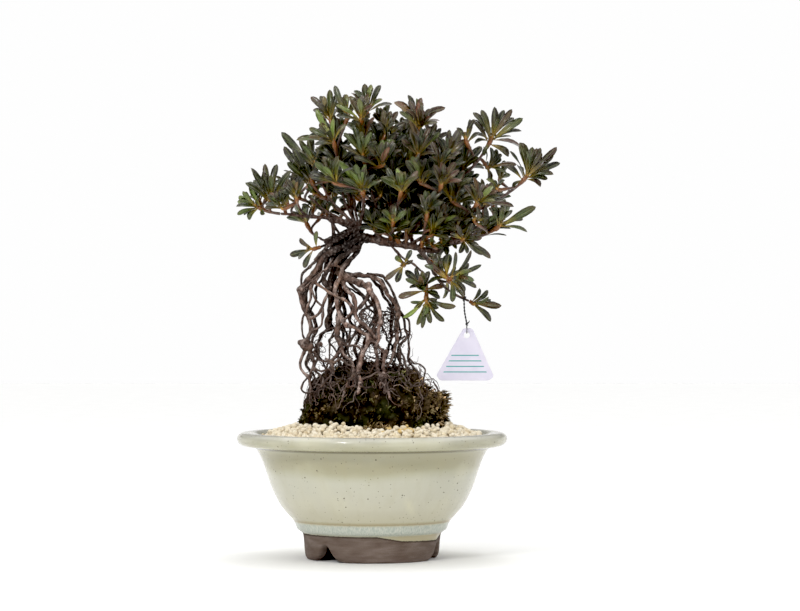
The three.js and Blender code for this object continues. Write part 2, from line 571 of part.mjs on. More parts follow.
// Swings a leaf about its root, a little more each time, until it clears its neighbours.
function clearedLeaf(leaf, axis, neighbours, siblings) {
  const swings = [[0, 0], [14, 0], [-14, 0], [0, 16], [0, -16], [26, 10], [-26, 10], [22, -18], [-22, -18],
    [40, 0], [-40, 0], [55, 12], [-55, 12]];
  for (const [turn, lift] of swings) {
    const direction = leaf.tip.clone().sub(leaf.bud);
    const reach = direction.length() * (turn === 0 && lift === 0 ? 1 : 0.94);
    direction.normalize();
    direction.applyAxisAngle(axis, radians(turn));
    direction.applyAxisAngle(leaf.side, radians(lift));
    const trial = makeLeaf(leaf.bud, direction, reach, axis);
    const fat = leafSolid(trial, CLEARANCE_SIZE);
    if (neighbours.some((neighbour) => overlaps(fat, neighbour))) continue;
    const outerPart = leafSolid({ ...trial, root: trial.root.clone().lerp(trial.tip, 0.3) }, 0);
    if (siblings.some((sibling) => overlaps(outerPart, sibling))) continue;
    return leafSolid(trial, 0);
  }
  return null;
}

function makeSprays(wood, others) {
  const canopyHeart = new THREE.Vector3(20, 10, 320);
  const plans = Object.entries(SPRAYS).map(([name, spray], row) => {
    const end = limbEnd(spray.limb);
    const leader = { start: end.point.clone().addScaledVector(end.along, GAP), along: end.along };
    const shoots = spray.whorls.map((whorl, k) => {
      const target = new THREE.Vector3(whorl[0], whorl[1], whorl[2]);
      const fork = SHOOT_FORKS[k];
      const start = k === 0 ? leader.start : leader.curve.getPointAt(fork);
      const along = k === 0 ? leader.along : leader.curve.getTangentAt(fork);
      const curve = shootCurve(start, along, target);
      if (k === 0) leader.curve = curve;
      const outward = target.clone().sub(canopyHeart).normalize();
      const axis = curve.getTangentAt(1).addScaledVector(outward, 0.9).addScaledVector(UP, 0.35).normalize();
      return { curve, axis, target, whorl };
    });
    return { name, row, end, shoots };
  });
  const stem = (curve, startR, grow) => taperedTube(curve, startR + grow, SHOOT_END_R + grow, SHOOT_SIDES, SHOOT_STEP);
  const stemR = (end, k) => (k === 0 ? end.r : SHOOT_SIDE_R);
  const stems = plans.map(({ end, shoots }) => shoots.map(({ curve }, k) => stem(curve, stemR(end, k), 0)));
  const fatStems = plans.map(({ end, shoots }) => shoots.map(({ curve }, k) => stem(curve, stemR(end, k), GAP)));
  const done = [];
  return plans.map(({ name, row, shoots }) => {
    const foreign = fatStems.filter((_, k) => k !== row).flat();
    const neighbours = [wood, ...others, ...foreign, ...done];
    const pieces = [...stems[row]];
    shoots.forEach(({ axis, target, whorl }, k) => {
      const seed = row * 4 + k + 1;
      for (const leaf of whorlLeaves(whorl, axis, seed)) {
        const blade = clearedLeaf(leaf, axis, neighbours, pieces);
        if (blade) pieces.push(blade);
      }
    });
    for (const { target } of shoots) {
      const bud = new THREE.OctahedronGeometry(BUD_R, 0);
      bud.translate(target.x, target.y, target.z);
      pieces.push(toManifold(bud));
    }
    const spray = fuse(pieces);
    done.push(spray);
    return { name, spray };
  });
}

// ---------------------------------------------------------------- label and its wire
// The wire goes round the last span of the low right limb.
const TIE_CURVE = smoothCurve(LIMBS.lowRight.at);
const TIE_SPAN_START = TIE_CURVE.getPointAt(1 - 1 / spanCount(TIE_CURVE, WOOD_STEP));
const TIE_POINT = TIE_SPAN_START.clone().lerp(TIE_CURVE.getPointAt(1), 0.7);

function makeTag() {
  // A rounded triangle with its point cut flat, hung from a hole near the top.
  const corners = [[91, 230], [100, 230], [121.5, 182], [116.5, 178], [68, 178], [64, 183]];
  const outline = new THREE.Shape();
  const count = corners.length;
  for (let k = 0; k < count; k += 1) {
    const here = new THREE.Vector2(...corners[k]);
    const before = new THREE.Vector2(...corners[(k + count - 1) % count]).lerp(here, 0.5);
    const after = new THREE.Vector2(...corners[(k + 1) % count]).lerp(here, 0.5);
    const into = here.clone().lerp(before, Math.min(1, 2.5 / here.distanceTo(before)));
    const out = here.clone().lerp(after, Math.min(1, 2.5 / here.distanceTo(after)));
    if (k === 0) outline.moveTo(into.x, into.y);
    else outline.lineTo(into.x, into.y);
    outline.quadraticCurveTo(here.x, here.y, out.x, out.y);
  }
  outline.closePath();
  const hole = new THREE.Path();
  hole.absarc(TAG_HOLE_X, TAG_HOLE_Z, TAG_HOLE_R, 0, 2 * Math.PI, false);
  outline.holes.push(hole);
  const tag = new THREE.ExtrudeGeometry(outline, { depth: TAG_THICKNESS, bevelEnabled: false, curveSegments: 4 });
  tag.rotateX(Math.PI / 2);
  tag.translate(0, TIE_POINT.y + TAG_THICKNESS / 2, 0);
  return toManifold(tag);
}

function ring(centre, normal, radius) {
  const torus = new THREE.TorusGeometry(radius, WIRE_R, 5, 12);
  torus.applyQuaternion(new THREE.Quaternion().setFromUnitVectors(UP, normal));
  torus.translate(centre.x, centre.y, centre.z);
  return toManifold(torus);
}

// A stiff coated wire: a loop round the twig, a twisted stem, and a loop through the label's hole.
function makeWire() {
  const twig = TIE_POINT.clone().sub(TIE_SPAN_START).normalize();
  const twigLoop = LIMBS.lowRight.r[1] + GAP + WIRE_R + 0.1;
  const tagLoopZ = TAG_HOLE_Z + TAG_HOLE_R - GAP - WIRE_R + TAG_LOOP_R;
  const tagLoopAt = new THREE.Vector3(TAG_HOLE_X, TIE_POINT.y, tagLoopZ);
  const stem = new THREE.CatmullRomCurve3([
    new THREE.Vector3(TIE_POINT.x, TIE_POINT.y, TIE_POINT.z - twigLoop),
    new THREE.Vector3(TIE_POINT.x + 0.4, TIE_POINT.y, TIE_POINT.z - 12),
    new THREE.Vector3(TAG_HOLE_X, TIE_POINT.y, tagLoopZ + TAG_LOOP_R),
  ]);
  return fuse([
    ring(TIE_POINT, twig, twigLoop),
    ring(tagLoopAt, new THREE.Vector3(1, 0, 0), TAG_LOOP_R),
    taperedTube(stem, WIRE_R, WIRE_R, 5, 8),
  ]);
}

// ---------------------------------------------------------------- materials and assembly
const finish = (color, roughness) => new THREE.MeshStandardMaterial({ color, roughness, metalness: 0 });
const glaze = finish(0xc9cab4, 0.2);
const kanuma = finish(0xf3e6c6, 0.95);
const peat = finish(0x3a3a24, 0.95);
const bark = finish(0x6b5550, 0.85);
const foliage = finish(0x4a5236, 0.5);
const labelPlastic = finish(0xece8f2, 0.45);
const blackPlastic = finish(0x17171a, 0.5);

const model = new THREE.Group();

function add(name, geometry, material) {
  const mesh = new THREE.Mesh(geometry, material);
  mesh.name = name;
  model.add(mesh);
}

const wood = makeWood();
const tag = makeTag();
const wire = makeWire();

add('pot', makePot(), glaze);
add('drain_screen', makeScreen(), blackPlastic);
add('kanuma_soil', makeSoil(), kanuma);
add('root_ball', toGeometry(makeRootBall()), peat);
add('wood', toGeometry(wood), bark);
for (const { name, spray } of makeSprays(wood, [tag, wire])) {
  add(`spray_${name}`, toGeometry(spray), foliage);
}
add('label', toGeometry(tag), labelPlastic);
add('label_wire', toGeometry(wire), blackPlastic);

const extent = new THREE.Box3().setFromObject(model);
const middle = extent.getCenter(new THREE.Vector3());
model.position.set(-middle.x, -middle.y, -extent.min.z);
model.updateMatrixWorld(true);

export default model;
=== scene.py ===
# %% [markdown]
# # A satsuki azalea bonsai in a round glazed pot
#
# The tree is an exposed-root azalea: a short gnarled trunk held up by a cage of bare roots, which run
# down over an old mossy root ball into a pot filled with cream kanuma grains. We dress a plain solid
# model of it. The solids keep their places, and each finer piece made here stands for one of them.

# %% Load the plain model
import functools
import math

import bpy
import numpy as np
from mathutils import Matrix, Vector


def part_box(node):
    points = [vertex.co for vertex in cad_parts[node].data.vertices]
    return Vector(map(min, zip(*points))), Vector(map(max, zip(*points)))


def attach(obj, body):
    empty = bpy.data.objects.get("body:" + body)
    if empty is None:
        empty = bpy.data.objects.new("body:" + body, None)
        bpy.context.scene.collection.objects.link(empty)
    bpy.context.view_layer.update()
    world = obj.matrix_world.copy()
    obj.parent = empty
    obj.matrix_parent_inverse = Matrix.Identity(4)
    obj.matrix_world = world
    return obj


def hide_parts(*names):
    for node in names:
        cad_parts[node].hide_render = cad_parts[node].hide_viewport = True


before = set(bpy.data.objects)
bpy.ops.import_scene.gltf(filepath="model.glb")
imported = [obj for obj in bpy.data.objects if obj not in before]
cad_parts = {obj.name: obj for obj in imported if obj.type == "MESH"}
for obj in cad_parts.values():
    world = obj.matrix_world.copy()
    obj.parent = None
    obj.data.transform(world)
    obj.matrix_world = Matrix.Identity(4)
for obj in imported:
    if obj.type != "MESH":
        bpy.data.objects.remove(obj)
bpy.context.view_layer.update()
MM = 0.001
UP = np.array([0, 0, 1.0])
pot_low, pot_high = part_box("pot")
POT_AXIS = np.array([(pot_low.x + pot_high.x) / 2, (pot_low.y + pot_high.y) / 2, pot_low.z])
print("pot axis at", POT_AXIS.round(4), "nodes", len(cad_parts))

# %% [markdown]
# The tree's own measurements are easiest to read in millimetres from the pot's axis, with -Y towards
# the front, so every list below is in that frame, and one function moves it into the model's metres.

# %% From the pot's millimetres to the model's metres
def placed(points):
    """Points in mm from the pot's axis, as metres in the model's frame."""
    return np.asarray(points, float) * MM + POT_AXIS


def draw(k, seed):
    """A repeatable number from 0 to 1 for item k of list seed: the fraction of a large sine."""
    s = np.sin(np.asarray(k, float) * 12.9898 + np.asarray(seed, float) * 78.233) * 43758.5453
    return s - np.floor(s)


def jitter(k, seed, count=3):
    """Draws from -0.5 to 0.5, count of them for each item k."""
    return np.stack([draw(k, seed + j) - 0.5 for j in range(count)], axis=1)


def unit(v):
    """Vectors scaled to length one."""
    v = np.asarray(v, float)
    return v / np.maximum(np.linalg.norm(v, axis=-1, keepdims=True), 1e-9)


def smooth(x, low, high):
    """0 below low, 1 above high, and an S-shaped rise between."""
    t = np.clip((np.asarray(x, float) - low) / (high - low), 0, 1)
    return t * t * (3 - 2 * t)


# %% [markdown]
# Bark, peat and moss are lumpy at several sizes at once. Value noise gives that: random heights on a
# lattice, blended smoothly between the lattice points, and added up at sizes that halve each time.

# %% Noise for lumps
def lattice(points, size, seed):
    """Value noise from -1 to 1 with lumps about size apart."""
    cell = points / size
    base = np.floor(cell)
    part = cell - base
    part = part * part * (3 - 2 * part)
    total = 0.0
    for corner in np.ndindex(2, 2, 2):
        at = base + corner
        value = draw(at[:, 0] * 1.7 + at[:, 1] * 57.3 + at[:, 2] * 113.9, seed)
        weight = np.prod(np.where(np.array(corner) == 1, part, 1 - part), axis=1)
        total = total + value * weight
    return total * 2 - 1


def lumps(points, size, octaves=3, seed=1):
    """Several sizes of value noise added up, each half as large and half as strong."""
    total = 0.0
    for k in range(octaves):
        total = total + lattice(points + 31.7 * k, size / 2**k, seed + k) / 2**k
    return total


# %% [markdown]
# Blender keeps a mesh as flat arrays. Filling those arrays whole is quick even for a hundred thousand
# faces. Each piece also carries a colour at every point, which its material reads as "tint".

# %% From arrays to a piece
def make_piece(name, points, quads, tris=None, tint=None, uv=None, masks=None, smooth_shaded=True):
    """An object from an (n, 3) array in metres and arrays of four- and three-cornered faces."""
    quads = np.zeros((0, 4), int) if quads is None else np.asarray(quads, int).reshape(-1, 4)
    tris = np.zeros((0, 3), int) if tris is None else np.asarray(tris, int).reshape(-1, 3)
    corners = np.concatenate([quads.ravel(), tris.ravel()]).astype(np.int32)
    starts = np.concatenate([np.arange(len(quads)) * 4, len(quads) * 4 + np.arange(len(tris)) * 3])
    mesh = bpy.data.meshes.new(name)
    mesh.vertices.add(len(points))
    mesh.vertices.foreach_set("co", np.asarray(points, np.float32).ravel())
    mesh.loops.add(len(corners))
    mesh.loops.foreach_set("vertex_index", corners)
    mesh.polygons.add(len(starts))
    mesh.polygons.foreach_set("loop_start", starts.astype(np.int32))
    mesh.update(calc_edges=True)
    mesh.polygons.foreach_set("use_smooth", np.full(len(starts), smooth_shaded))
    if tint is not None:
        rgba = np.ones((len(points), 4), np.float32)
        rgba[:, :3] = tint
        mesh.attributes.new("tint", "FLOAT_COLOR", "POINT").data.foreach_set("color", rgba.ravel())
    for key, values in (masks or {}).items():
        layer = mesh.attributes.new(key, "FLOAT", "POINT")
        layer.data.foreach_set("value", np.asarray(values, np.float32))
    if uv is not None:
        layer = mesh.uv_layers.new(name="UVMap")
        layer.data.foreach_set("uv", np.asarray(uv, np.float32)[corners].ravel())
    mesh.validate()
    piece = bpy.data.objects.new(name, mesh)
    bpy.context.scene.collection.objects.link(piece)
    return piece


def dress(piece, slot, material, *nodes):
    """Gives a piece its material, the node it stands for and the body it rides on; its slot is not used."""
    if material is not None:
        piece.data.materials.append(material)
    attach(piece, "root")
    if nodes:
        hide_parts(*nodes)
    print(piece.name, len(piece.data.polygons), "faces")
    return piece


# %% [markdown]
# Roots, limbs, shoots and wire are all the same thing: a ring carried along a path. Working on many
# paths at once keeps it quick, so every path is first brought to the same number of stations.

# %% A ring carried along many paths
def smooth_path(control, stations):
    """A centripetal Catmull-Rom curve through the control points, with stations spread evenly."""
    control = np.asarray(control, float)
    padded = np.vstack([2 * control[0] - control[1], control, 2 * control[-1] - control[-2]])
    gap = np.sqrt(np.maximum(np.linalg.norm(np.diff(padded, axis=0), axis=1), 1e-6))[:, None]
    p0, p1, p2, p3 = padded[:-3], padded[1:-2], padded[2:-1], padded[3:]
    g0, g1, g2 = gap[:-2], gap[1:-1], gap[2:]
    leave = g1 * ((p1 - p0) / g0 - (p2 - p0) / (g0 + g1) + (p2 - p1) / g1)
    arrive = g1 * ((p2 - p1) / g1 - (p3 - p1) / (g1 + g2) + (p3 - p2) / g2)
    t = np.linspace(0, 1, 12, endpoint=False)[:, None, None]
    curve = ((2 * t**3 - 3 * t**2 + 1) * p1 + (t**3 - 2 * t**2 + t) * leave
             + (3 * t**2 - 2 * t**3) * p2 + (t**3 - t**2) * arrive)
    curve = np.vstack([curve.transpose(1, 0, 2).reshape(-1, 3), control[-1]])
    return evenly(curve, stations)


def evenly(curve, stations):
    """Points at even distances along a polyline."""
    run = np.concatenate([[0], np.cumsum(np.linalg.norm(np.diff(curve, axis=0), axis=1))])
    even = np.linspace(0, run[-1], stations)
    return np.stack([np.interp(even, run, curve[:, k]) for k in range(3)], axis=1)


# %% [markdown]
# At each station of a path, two directions square to it carry a ring of points. Four-cornered faces
# join the rings, and a fan of triangles shuts each end, so that every tube is a closed body.

# %% Rings and their faces
def side_frames(paths):
    """Two unit vectors across each station of (n, m, 3) paths, turned as little as possible."""
    ahead = unit(np.gradient(paths, axis=1))
    lean = np.abs(ahead).max(axis=1)
    pick = np.eye(3)[np.argmin(lean, axis=1)][:, None, :]
    first = unit(np.cross(ahead, np.broadcast_to(pick, ahead.shape)))
    return ahead, first, np.cross(ahead, first)


def lathe_faces(rings, around):
    """Quads and end triangles of rings stacked from the first pole to the last."""
    i, k = np.meshgrid(np.arange(rings - 1), np.arange(around), indexing="ij")
    a, b = i * around + k, i * around + (k + 1) % around
    quads = np.stack([a, b, b + around, a + around], axis=-1).reshape(-1, 4)
    k = np.arange(around)
    ends = rings * around
    start_fan = np.stack([np.full(around, ends), (k + 1) % around, k], axis=1)
    last = (rings - 1) * around
    end_fan = np.stack([np.full(around, ends + 1), last + k, last + (k + 1) % around], axis=1)
    return quads, np.vstack([start_fan, end_fan])


def carried_rings(paths, radii, sides, flat=1.0):
    """Closed tubes along (n, m, 3) paths with (n, m) radii: points, quads, end triangles, uv."""
    n, m = radii.shape
    _, first, second = side_frames(paths)
    angle = np.arange(sides) * 2 * math.pi / sides
    ring = (first[:, :, None] * np.cos(angle)[:, None] + second[:, :, None] * np.sin(angle)[:, None] * flat)
    body = paths[:, :, None] + ring * radii[:, :, None, None]
    points = np.concatenate([body.reshape(n, -1, 3), paths[:, :1], paths[:, -1:]], axis=1)
    quads, tris = lathe_faces(m, sides)
    along = np.concatenate([np.repeat(np.linspace(0, 1, m), sides), [0, 1]])
    around = np.concatenate([np.tile(np.arange(sides) / sides, m), [0.5, 0.5]])
    uv = np.tile(np.stack([around, along], axis=1), (n, 1))
    shift = (np.arange(n) * (m * sides + 2))[:, None, None]
    quads = (quads[None] + shift).reshape(-1, 4)
    tris = (tris[None] + shift).reshape(-1, 3)
    return points.reshape(-1, 3), quads, tris, uv


# %% [markdown]
# A piece is often made of hundreds of parts. A heap gathers their arrays, counts their points so that
# each part's faces find their own corners, and makes one object of them at the end.

# %% A heap of parts
class Heap:
    """Gathers parts of one piece: points, faces, uv, tints and masks."""

    def __init__(self):
        self.points, self.quads, self.tris, self.uv, self.tints = [], [], [], [], []
        self.masks = {}
        self.count = 0

    def add(self, points, quads, tris, uv, tint, **masks):
        """Adds a part whose faces count from its own first point."""
        n = len(points)
        self.points.append(points)
        self.quads.append(np.asarray(quads, int).reshape(-1, 4) + self.count)
        self.tris.append(np.asarray(tris, int).reshape(-1, 3) + self.count)
        self.uv.append(uv)
        self.tints.append(np.broadcast_to(tint, (n, 3)))
        for key, values in masks.items():
            self.masks.setdefault(key, []).append(np.broadcast_to(values, (n,)))
        self.count += n

    def piece(self, name):
        """One object made of all the parts."""
        masks = {key: np.concatenate(parts) for key, parts in self.masks.items()}
        return make_piece(
            name, placed(np.vstack(self.points)), np.vstack(self.quads), np.vstack(self.tris),
            np.vstack(self.tints), np.vstack(self.uv), masks)


# %% [markdown]
# Colours are picked as sRGB hex values, the way a paint chart gives them, and Blender wants linear
# light, so one function converts. One more function adds a shader node with its settings and links.

# %% Colour and node helpers
def linear(hex_colour):
    """An sRGB hex colour as three linear numbers."""
    value = np.array([int(hex_colour[k:k + 2], 16) for k in (1, 3, 5)]) / 255
    return np.where(value <= 0.04045, value / 12.92, ((value + 0.055) / 1.055) ** 2.4)


def rgba(hex_colour):
    """The same with an alpha of one, as a socket wants it."""
    return (*linear(hex_colour), 1.0)


def mixed(colours, weights):
    """Linear colours (k, 3) blended by weights (n, k)."""
    weights = np.asarray(weights, float)
    return (weights / weights.sum(axis=1, keepdims=True)) @ np.asarray(colours)


def add_node(tree, kind, inputs=None, out=0, stops=None, **settings):
    """Adds a shader node with its settings and links, and gives back one of its outputs.

    An input is a number, a hex colour or another node's output. The stops of a colour ramp are pairs
    of a place and a hex colour or a grey number."""
    made = tree.nodes.new("ShaderNode" + kind)
    for key, value in settings.items():
        setattr(made, key, value)
    for key, value in (inputs or {}).items():
        if isinstance(value, bpy.types.NodeSocket):
            tree.links.new(value, made.inputs[key])
        else:
            made.inputs[key].default_value = rgba(value) if isinstance(value, str) else value
    if stops:
        band = made.color_ramp.elements
        while len(band) < len(stops):
            band.new(0.5)
        for stop, (place, value) in zip(band, stops):
            stop.position = place
            stop.color = rgba(value) if isinstance(value, str) else (value, value, value, 1)
    return made.outputs[out]


BLEND = {"out": 2, "data_type": "RGBA"}  # turns a Mix node into one that blends two colours


def feed(shader, **sockets):
    """Links nodes' outputs to a shader's sockets."""
    for key, value in sockets.items():
        shader.id_data.links.new(value, shader.inputs[key.replace("_", " ")])


def new_material(name, roughness=0.5, **sockets):
    """A material, its shader, a vector in mm from the pot's axis, and what adds nodes to its tree."""
    material = bpy.data.materials.new(name)
    material.use_nodes = True
    tree = material.node_tree
    shader = tree.nodes["Principled BSDF"]
    shader.inputs["Roughness"].default_value = roughness
    for key, value in sockets.items():
        shader.inputs[key.replace("_", " ")].default_value = value
    node = functools.partial(add_node, tree)
    where = node("TexCoord", out="Object")
    mm = node("Mapping", {"Vector": where, "Location": tuple(-POT_AXIS / MM), "Scale": (1 / MM,) * 3})
    return material, shader, mm, node


# %% [markdown]
# ## Camera and light
#
# The camera stands level with the middle of the tree and far off, with a long lens, so that the rim
# of the pot shows as a thin ellipse. The light is a white studio: a bright surround and large lamps.

# %% Camera, studio and floor
CAMERA_AWAY = 3.0
CAMERA_HEIGHT = 0.262
VIEW_CENTRE = (28 * MM, 252.6 * MM)  # the picture's middle: right of the pot's axis, above the floor


def make_camera():
    """A long lens, tilted so that the picture's middle falls on VIEW_CENTRE."""
    data = bpy.data.cameras.new("camera")
    data.lens = 135
    data.sensor_width = 36
    data.clip_end = 20
    camera = bpy.data.objects.new("camera", data)
    bpy.context.scene.collection.objects.link(camera)
    x = POT_AXIS[0] + VIEW_CENTRE[0]
    camera.location = (x, POT_AXIS[1] - CAMERA_AWAY, CAMERA_HEIGHT)
    tilt = math.atan2(VIEW_CENTRE[1] - CAMERA_HEIGHT, CAMERA_AWAY)
    camera.rotation_euler = (math.pi / 2 + tilt, 0, 0)
    bpy.context.scene.camera = camera


def area_lamp(name, place, size, watts, aim=(0, 0, 0.25), colour="#ffffff"):
    """A round lamp that looks at aim: its turn and tilt are the angles of the line between them."""
    data = bpy.data.lights.new(name, "AREA")
    data.shape = "DISK"
    data.size = size
    data.energy = watts
    data.color = linear(colour)
    lamp = bpy.data.objects.new(name, data)
    bpy.context.scene.collection.objects.link(lamp)
    lamp.location = place
    away = np.array(place) - np.array(aim)
    across = math.hypot(away[0], away[1])
    lamp.rotation_euler = (math.atan2(across, away[2]), 0, math.atan2(away[1], away[0]) + math.pi / 2)


def make_studio():
    """A pale surround which darkens just over the horizon for the gloss to show, lamps and a floor."""
    world = bpy.data.worlds.new("studio")
    bpy.context.scene.world = world
    world.use_nodes = True
    tree = world.node_tree
    node = functools.partial(add_node, tree)
    up = node("SeparateXYZ", {0: node("TexCoord", out="Generated")}, out="Z")
    sky = node("ValToRGB", {0: up},
               stops=[(0.0, 0.62), (0.11, 0.62), (0.17, 0.07), (0.45, 0.07), (0.75, 1.0)])
    glow = tree.nodes["Background"]
    feed(glow, Color=sky)
    glow.inputs["Strength"].default_value = 1.6
    area_lamp("key", (-0.9, -1.9, 1.35), 0.4, 19)
    area_lamp("fill", (1.5, -1.6, 0.8), 0.9, 4)
    area_lamp("top", (0.1, 0.5, 1.7), 0.7, 4)
    material, shader, mm, node = new_material("painted studio floor", 0.8)
    rolled = node("TexNoise", {"Vector": mm, "Scale": 0.02})
    paint = node("ValToRGB", {0: rolled}, stops=[(0.3, "#f8f8f7"), (0.7, "#fbfbfa")])
    feed(shader, Base_Color=paint)
    half = 6.0
    corners = [[-half, -half, 0], [half, -half, 0], [half, half, 0], [-half, half, 0]]
    floor = make_piece("floor", np.array(corners, float), [[0, 1, 2, 3]])
    floor.data.materials.append(material)
    view = bpy.context.scene.view_settings
    view.view_transform = "Standard"
    view.use_curve_mapping = True
    view.curve_mapping.black_level = (0.014,) * 3  # a print's black point, so that deep gaps go dark
    view.curve_mapping.update()


make_camera()
make_studio()

# %% [markdown]
# ## The pot
#
# A thrown stoneware bowl: a rolled lip, a curved body, a bead where the glaze pools, and a bare foot
# ring cut into three cloud feet. It is a profile turned round an axis. The three cuts are made by
# lifting the foot's lower edge where they fall, so no boolean is needed and the clay stays one skin.

# %% The pot's profile and cuts
LIP_R = 135
FOOT_TOP = 26.3
NOTCH_ANGLES = np.radians([-134, -13, 107])
NOTCH_GAPS = [0, 3, 5, 6.5, 8, 10, 12.5, 16, 20, 25]  # mm along the foot from the middle of a cut
NOTCH_LIFTS = [16, 15.4, 13.2, 10.8, 8.4, 5.8, 3.8, 1.9, 0.6, 0]  # and the height of its edge there
POT_OUTLINE = [
    (57.5, 0.6), (59.5, 0), (63.8, 0), (65.4, 0.8), (66.4, 3), (67.2, 8), (68.2, 20.6), (69.4, 26.0),
    (71.2, 27.4), (73.8, 28.8), (75.6, 31.5), (76.6, 34.6), (78.6, 38.4), (84.5, 45), (91.4, 53.4),
    (97.2, 64), (101.6, 74), (105.6, 86), (109.4, 97), (112.8, 104.5), (115.4, 109), (118, 111.4),
    (122, 112.2), (127, 112.6), (131.4, 114), (134.2, 117), (LIP_R, 120.4), (133.4, 123.8), (130, 125.6),
    (125, 126), (119, 125.4), (114, 122.6), (110.4, 117), (106, 104), (100, 86), (84.4, 54), (71, 42.4),
    (62, 35.6), (57, 34), (40, 34), (13.4, 34), (12.5, 33), (12.5, 25), (13.4, 24), (40, 24), (52, 24),
    (55.6, 22.6), (57, 19.5), (57, 3)]


def notch_lift(angle):
    """How far the foot's lower edge is lifted: a narrow arch at each cut, whose sides flare out."""
    gap = np.abs((angle[:, None] - NOTCH_ANGLES[None] + math.pi) % (2 * math.pi) - math.pi)
    from_middle = gap.min(axis=1) * 66
    return np.interp(from_middle, NOTCH_GAPS, NOTCH_LIFTS)


# %% [markdown]
# The glaze's colour is laid down point by point, from a list of heights and tones. The height is
# warped a little before it is looked up, so that the bands wander and sag as a melt does.

# %% Tones of the glaze
GLAZE_HEIGHTS = [26, 39, 45, 54, 66, 84, 90, 95, 101, 107, 110, 113, 118, 121, 123, 126]
GLAZE_TONES = np.array([linear(h) for h in (
    "#bfbba0", "#c0bca3", "#c2bea8", "#c1beab", "#bfbdac", "#bdbcab", "#b5b39d", "#a8a48a", "#a29e83",
    "#a5a188", "#a6a38c", "#aca98f", "#b1ae96", "#bbb9a5", "#c3c1b3", "#c6c4b8")])


def glaze_tone(points):
    """Glaze colour by height: khaki where it ran thin under the lip, and that band sags at the front."""
    x, y, z = points.T
    drift = lumps(points * [1, 1, 0.5], 42, 3, 15)
    front = smooth(-y, 0, 60)
    sag = (7 * np.exp(-((x + 4) / 44) ** 2) * front + 3.0 * drift) * smooth(z, 72, 90) * (
        1 - smooth(z, 104, 109))
    tone = np.stack([np.interp(z + sag, GLAZE_HEIGHTS, GLAZE_TONES[:, j]) for j in range(3)], axis=1)
    pale = 0.3 * smooth(lumps(points, 30, 3, 19), 0, 1) + 0.85 * front * smooth(z, 44, 52) * (
        1 - smooth(z, 58, 70)) * np.exp(-((x - 35 - (64 - z) * 0.35) / 3.4) ** 2)
    tone = tone + (linear("#cbc8b0") - tone) * pale[:, None]
    brushed = smooth(lumps(points * [0.35, 0.35, 2.4], 11, 3, 23), -0.7, 0.8) * smooth(z, 112, 115)
    return tone * (1 - 0.15 * brushed)[:, None]


# %% [markdown]
# The outline is smoothed and turned in steps that are finer at the cuts. A hand threw the pot, so its
# radius waves by a third of a millimetre round the wall, with faint throwing rings.

# %% Turn the profile
def make_pot():
    """The profile turned round the axis: r cos a, r sin a and z, where r waves slightly from throwing
    and from the hand, and z is lifted at the cuts."""
    outline = np.array([(r, 0, z) for r, z in POT_OUTLINE + POT_OUTLINE[:1]], float)
    section = smooth_path(outline, 165)[:-1]
    angle = np.linspace(0, 2 * math.pi, 150, endpoint=False)
    close = (NOTCH_ANGLES[:, None] + np.linspace(-0.34, 0.34, 31)).ravel() % (2 * math.pi)
    angle = np.unique(np.concatenate([angle, close]).round(4))
    r, z = section[:, 0][None], np.maximum(section[:, 2], 0)[None]
    lift = notch_lift(angle)[:, None]
    z = np.where(z < FOOT_TOP, z + lift * (1 - z / FOOT_TOP), z)
    around = np.stack([np.cos(angle), np.sin(angle)], axis=1)
    ring = np.stack([around[:, :1] * 40, around[:, 1:] * 40, np.zeros((len(angle), 1))], axis=2)[:, 0]
    wobble = 0.35 * lattice(ring, 34.0, 5)[:, None] * smooth(z, 30, 60)
    throwing = 0.1 * np.sin(z * 1.1 + 0.4 * np.sin(angle)[:, None] * 3) * smooth(z, 40, 60)
    r = r + wobble + throwing * (r > 76)
    n, m = len(angle), section.shape[0]
    points = np.stack([r * around[:, :1], r * around[:, 1:], np.broadcast_to(z, (n, m))], axis=2)
    i, k = np.meshgrid(np.arange(n), np.arange(m), indexing="ij")
    ni, nk = (i + 1) % n, (k + 1) % m
    quads = np.stack([i * m + k, ni * m + k, ni * m + nk, i * m + nk], axis=-1).reshape(-1, 4)
    points = points.reshape(-1, 3)
    return make_piece("pot_glazed", placed(points), quads, tint=glaze_tone(points))


# %% [markdown]
# The glaze is a pale celadon over iron-bearing stoneware: glassy, cream-green where it is thick, and
# khaki where it ran thin under the lip. It stops at the bead in a bluish-white roll, and the clay
# below is bare, brown and sandy. All of that depends on height, so one material reads the height.

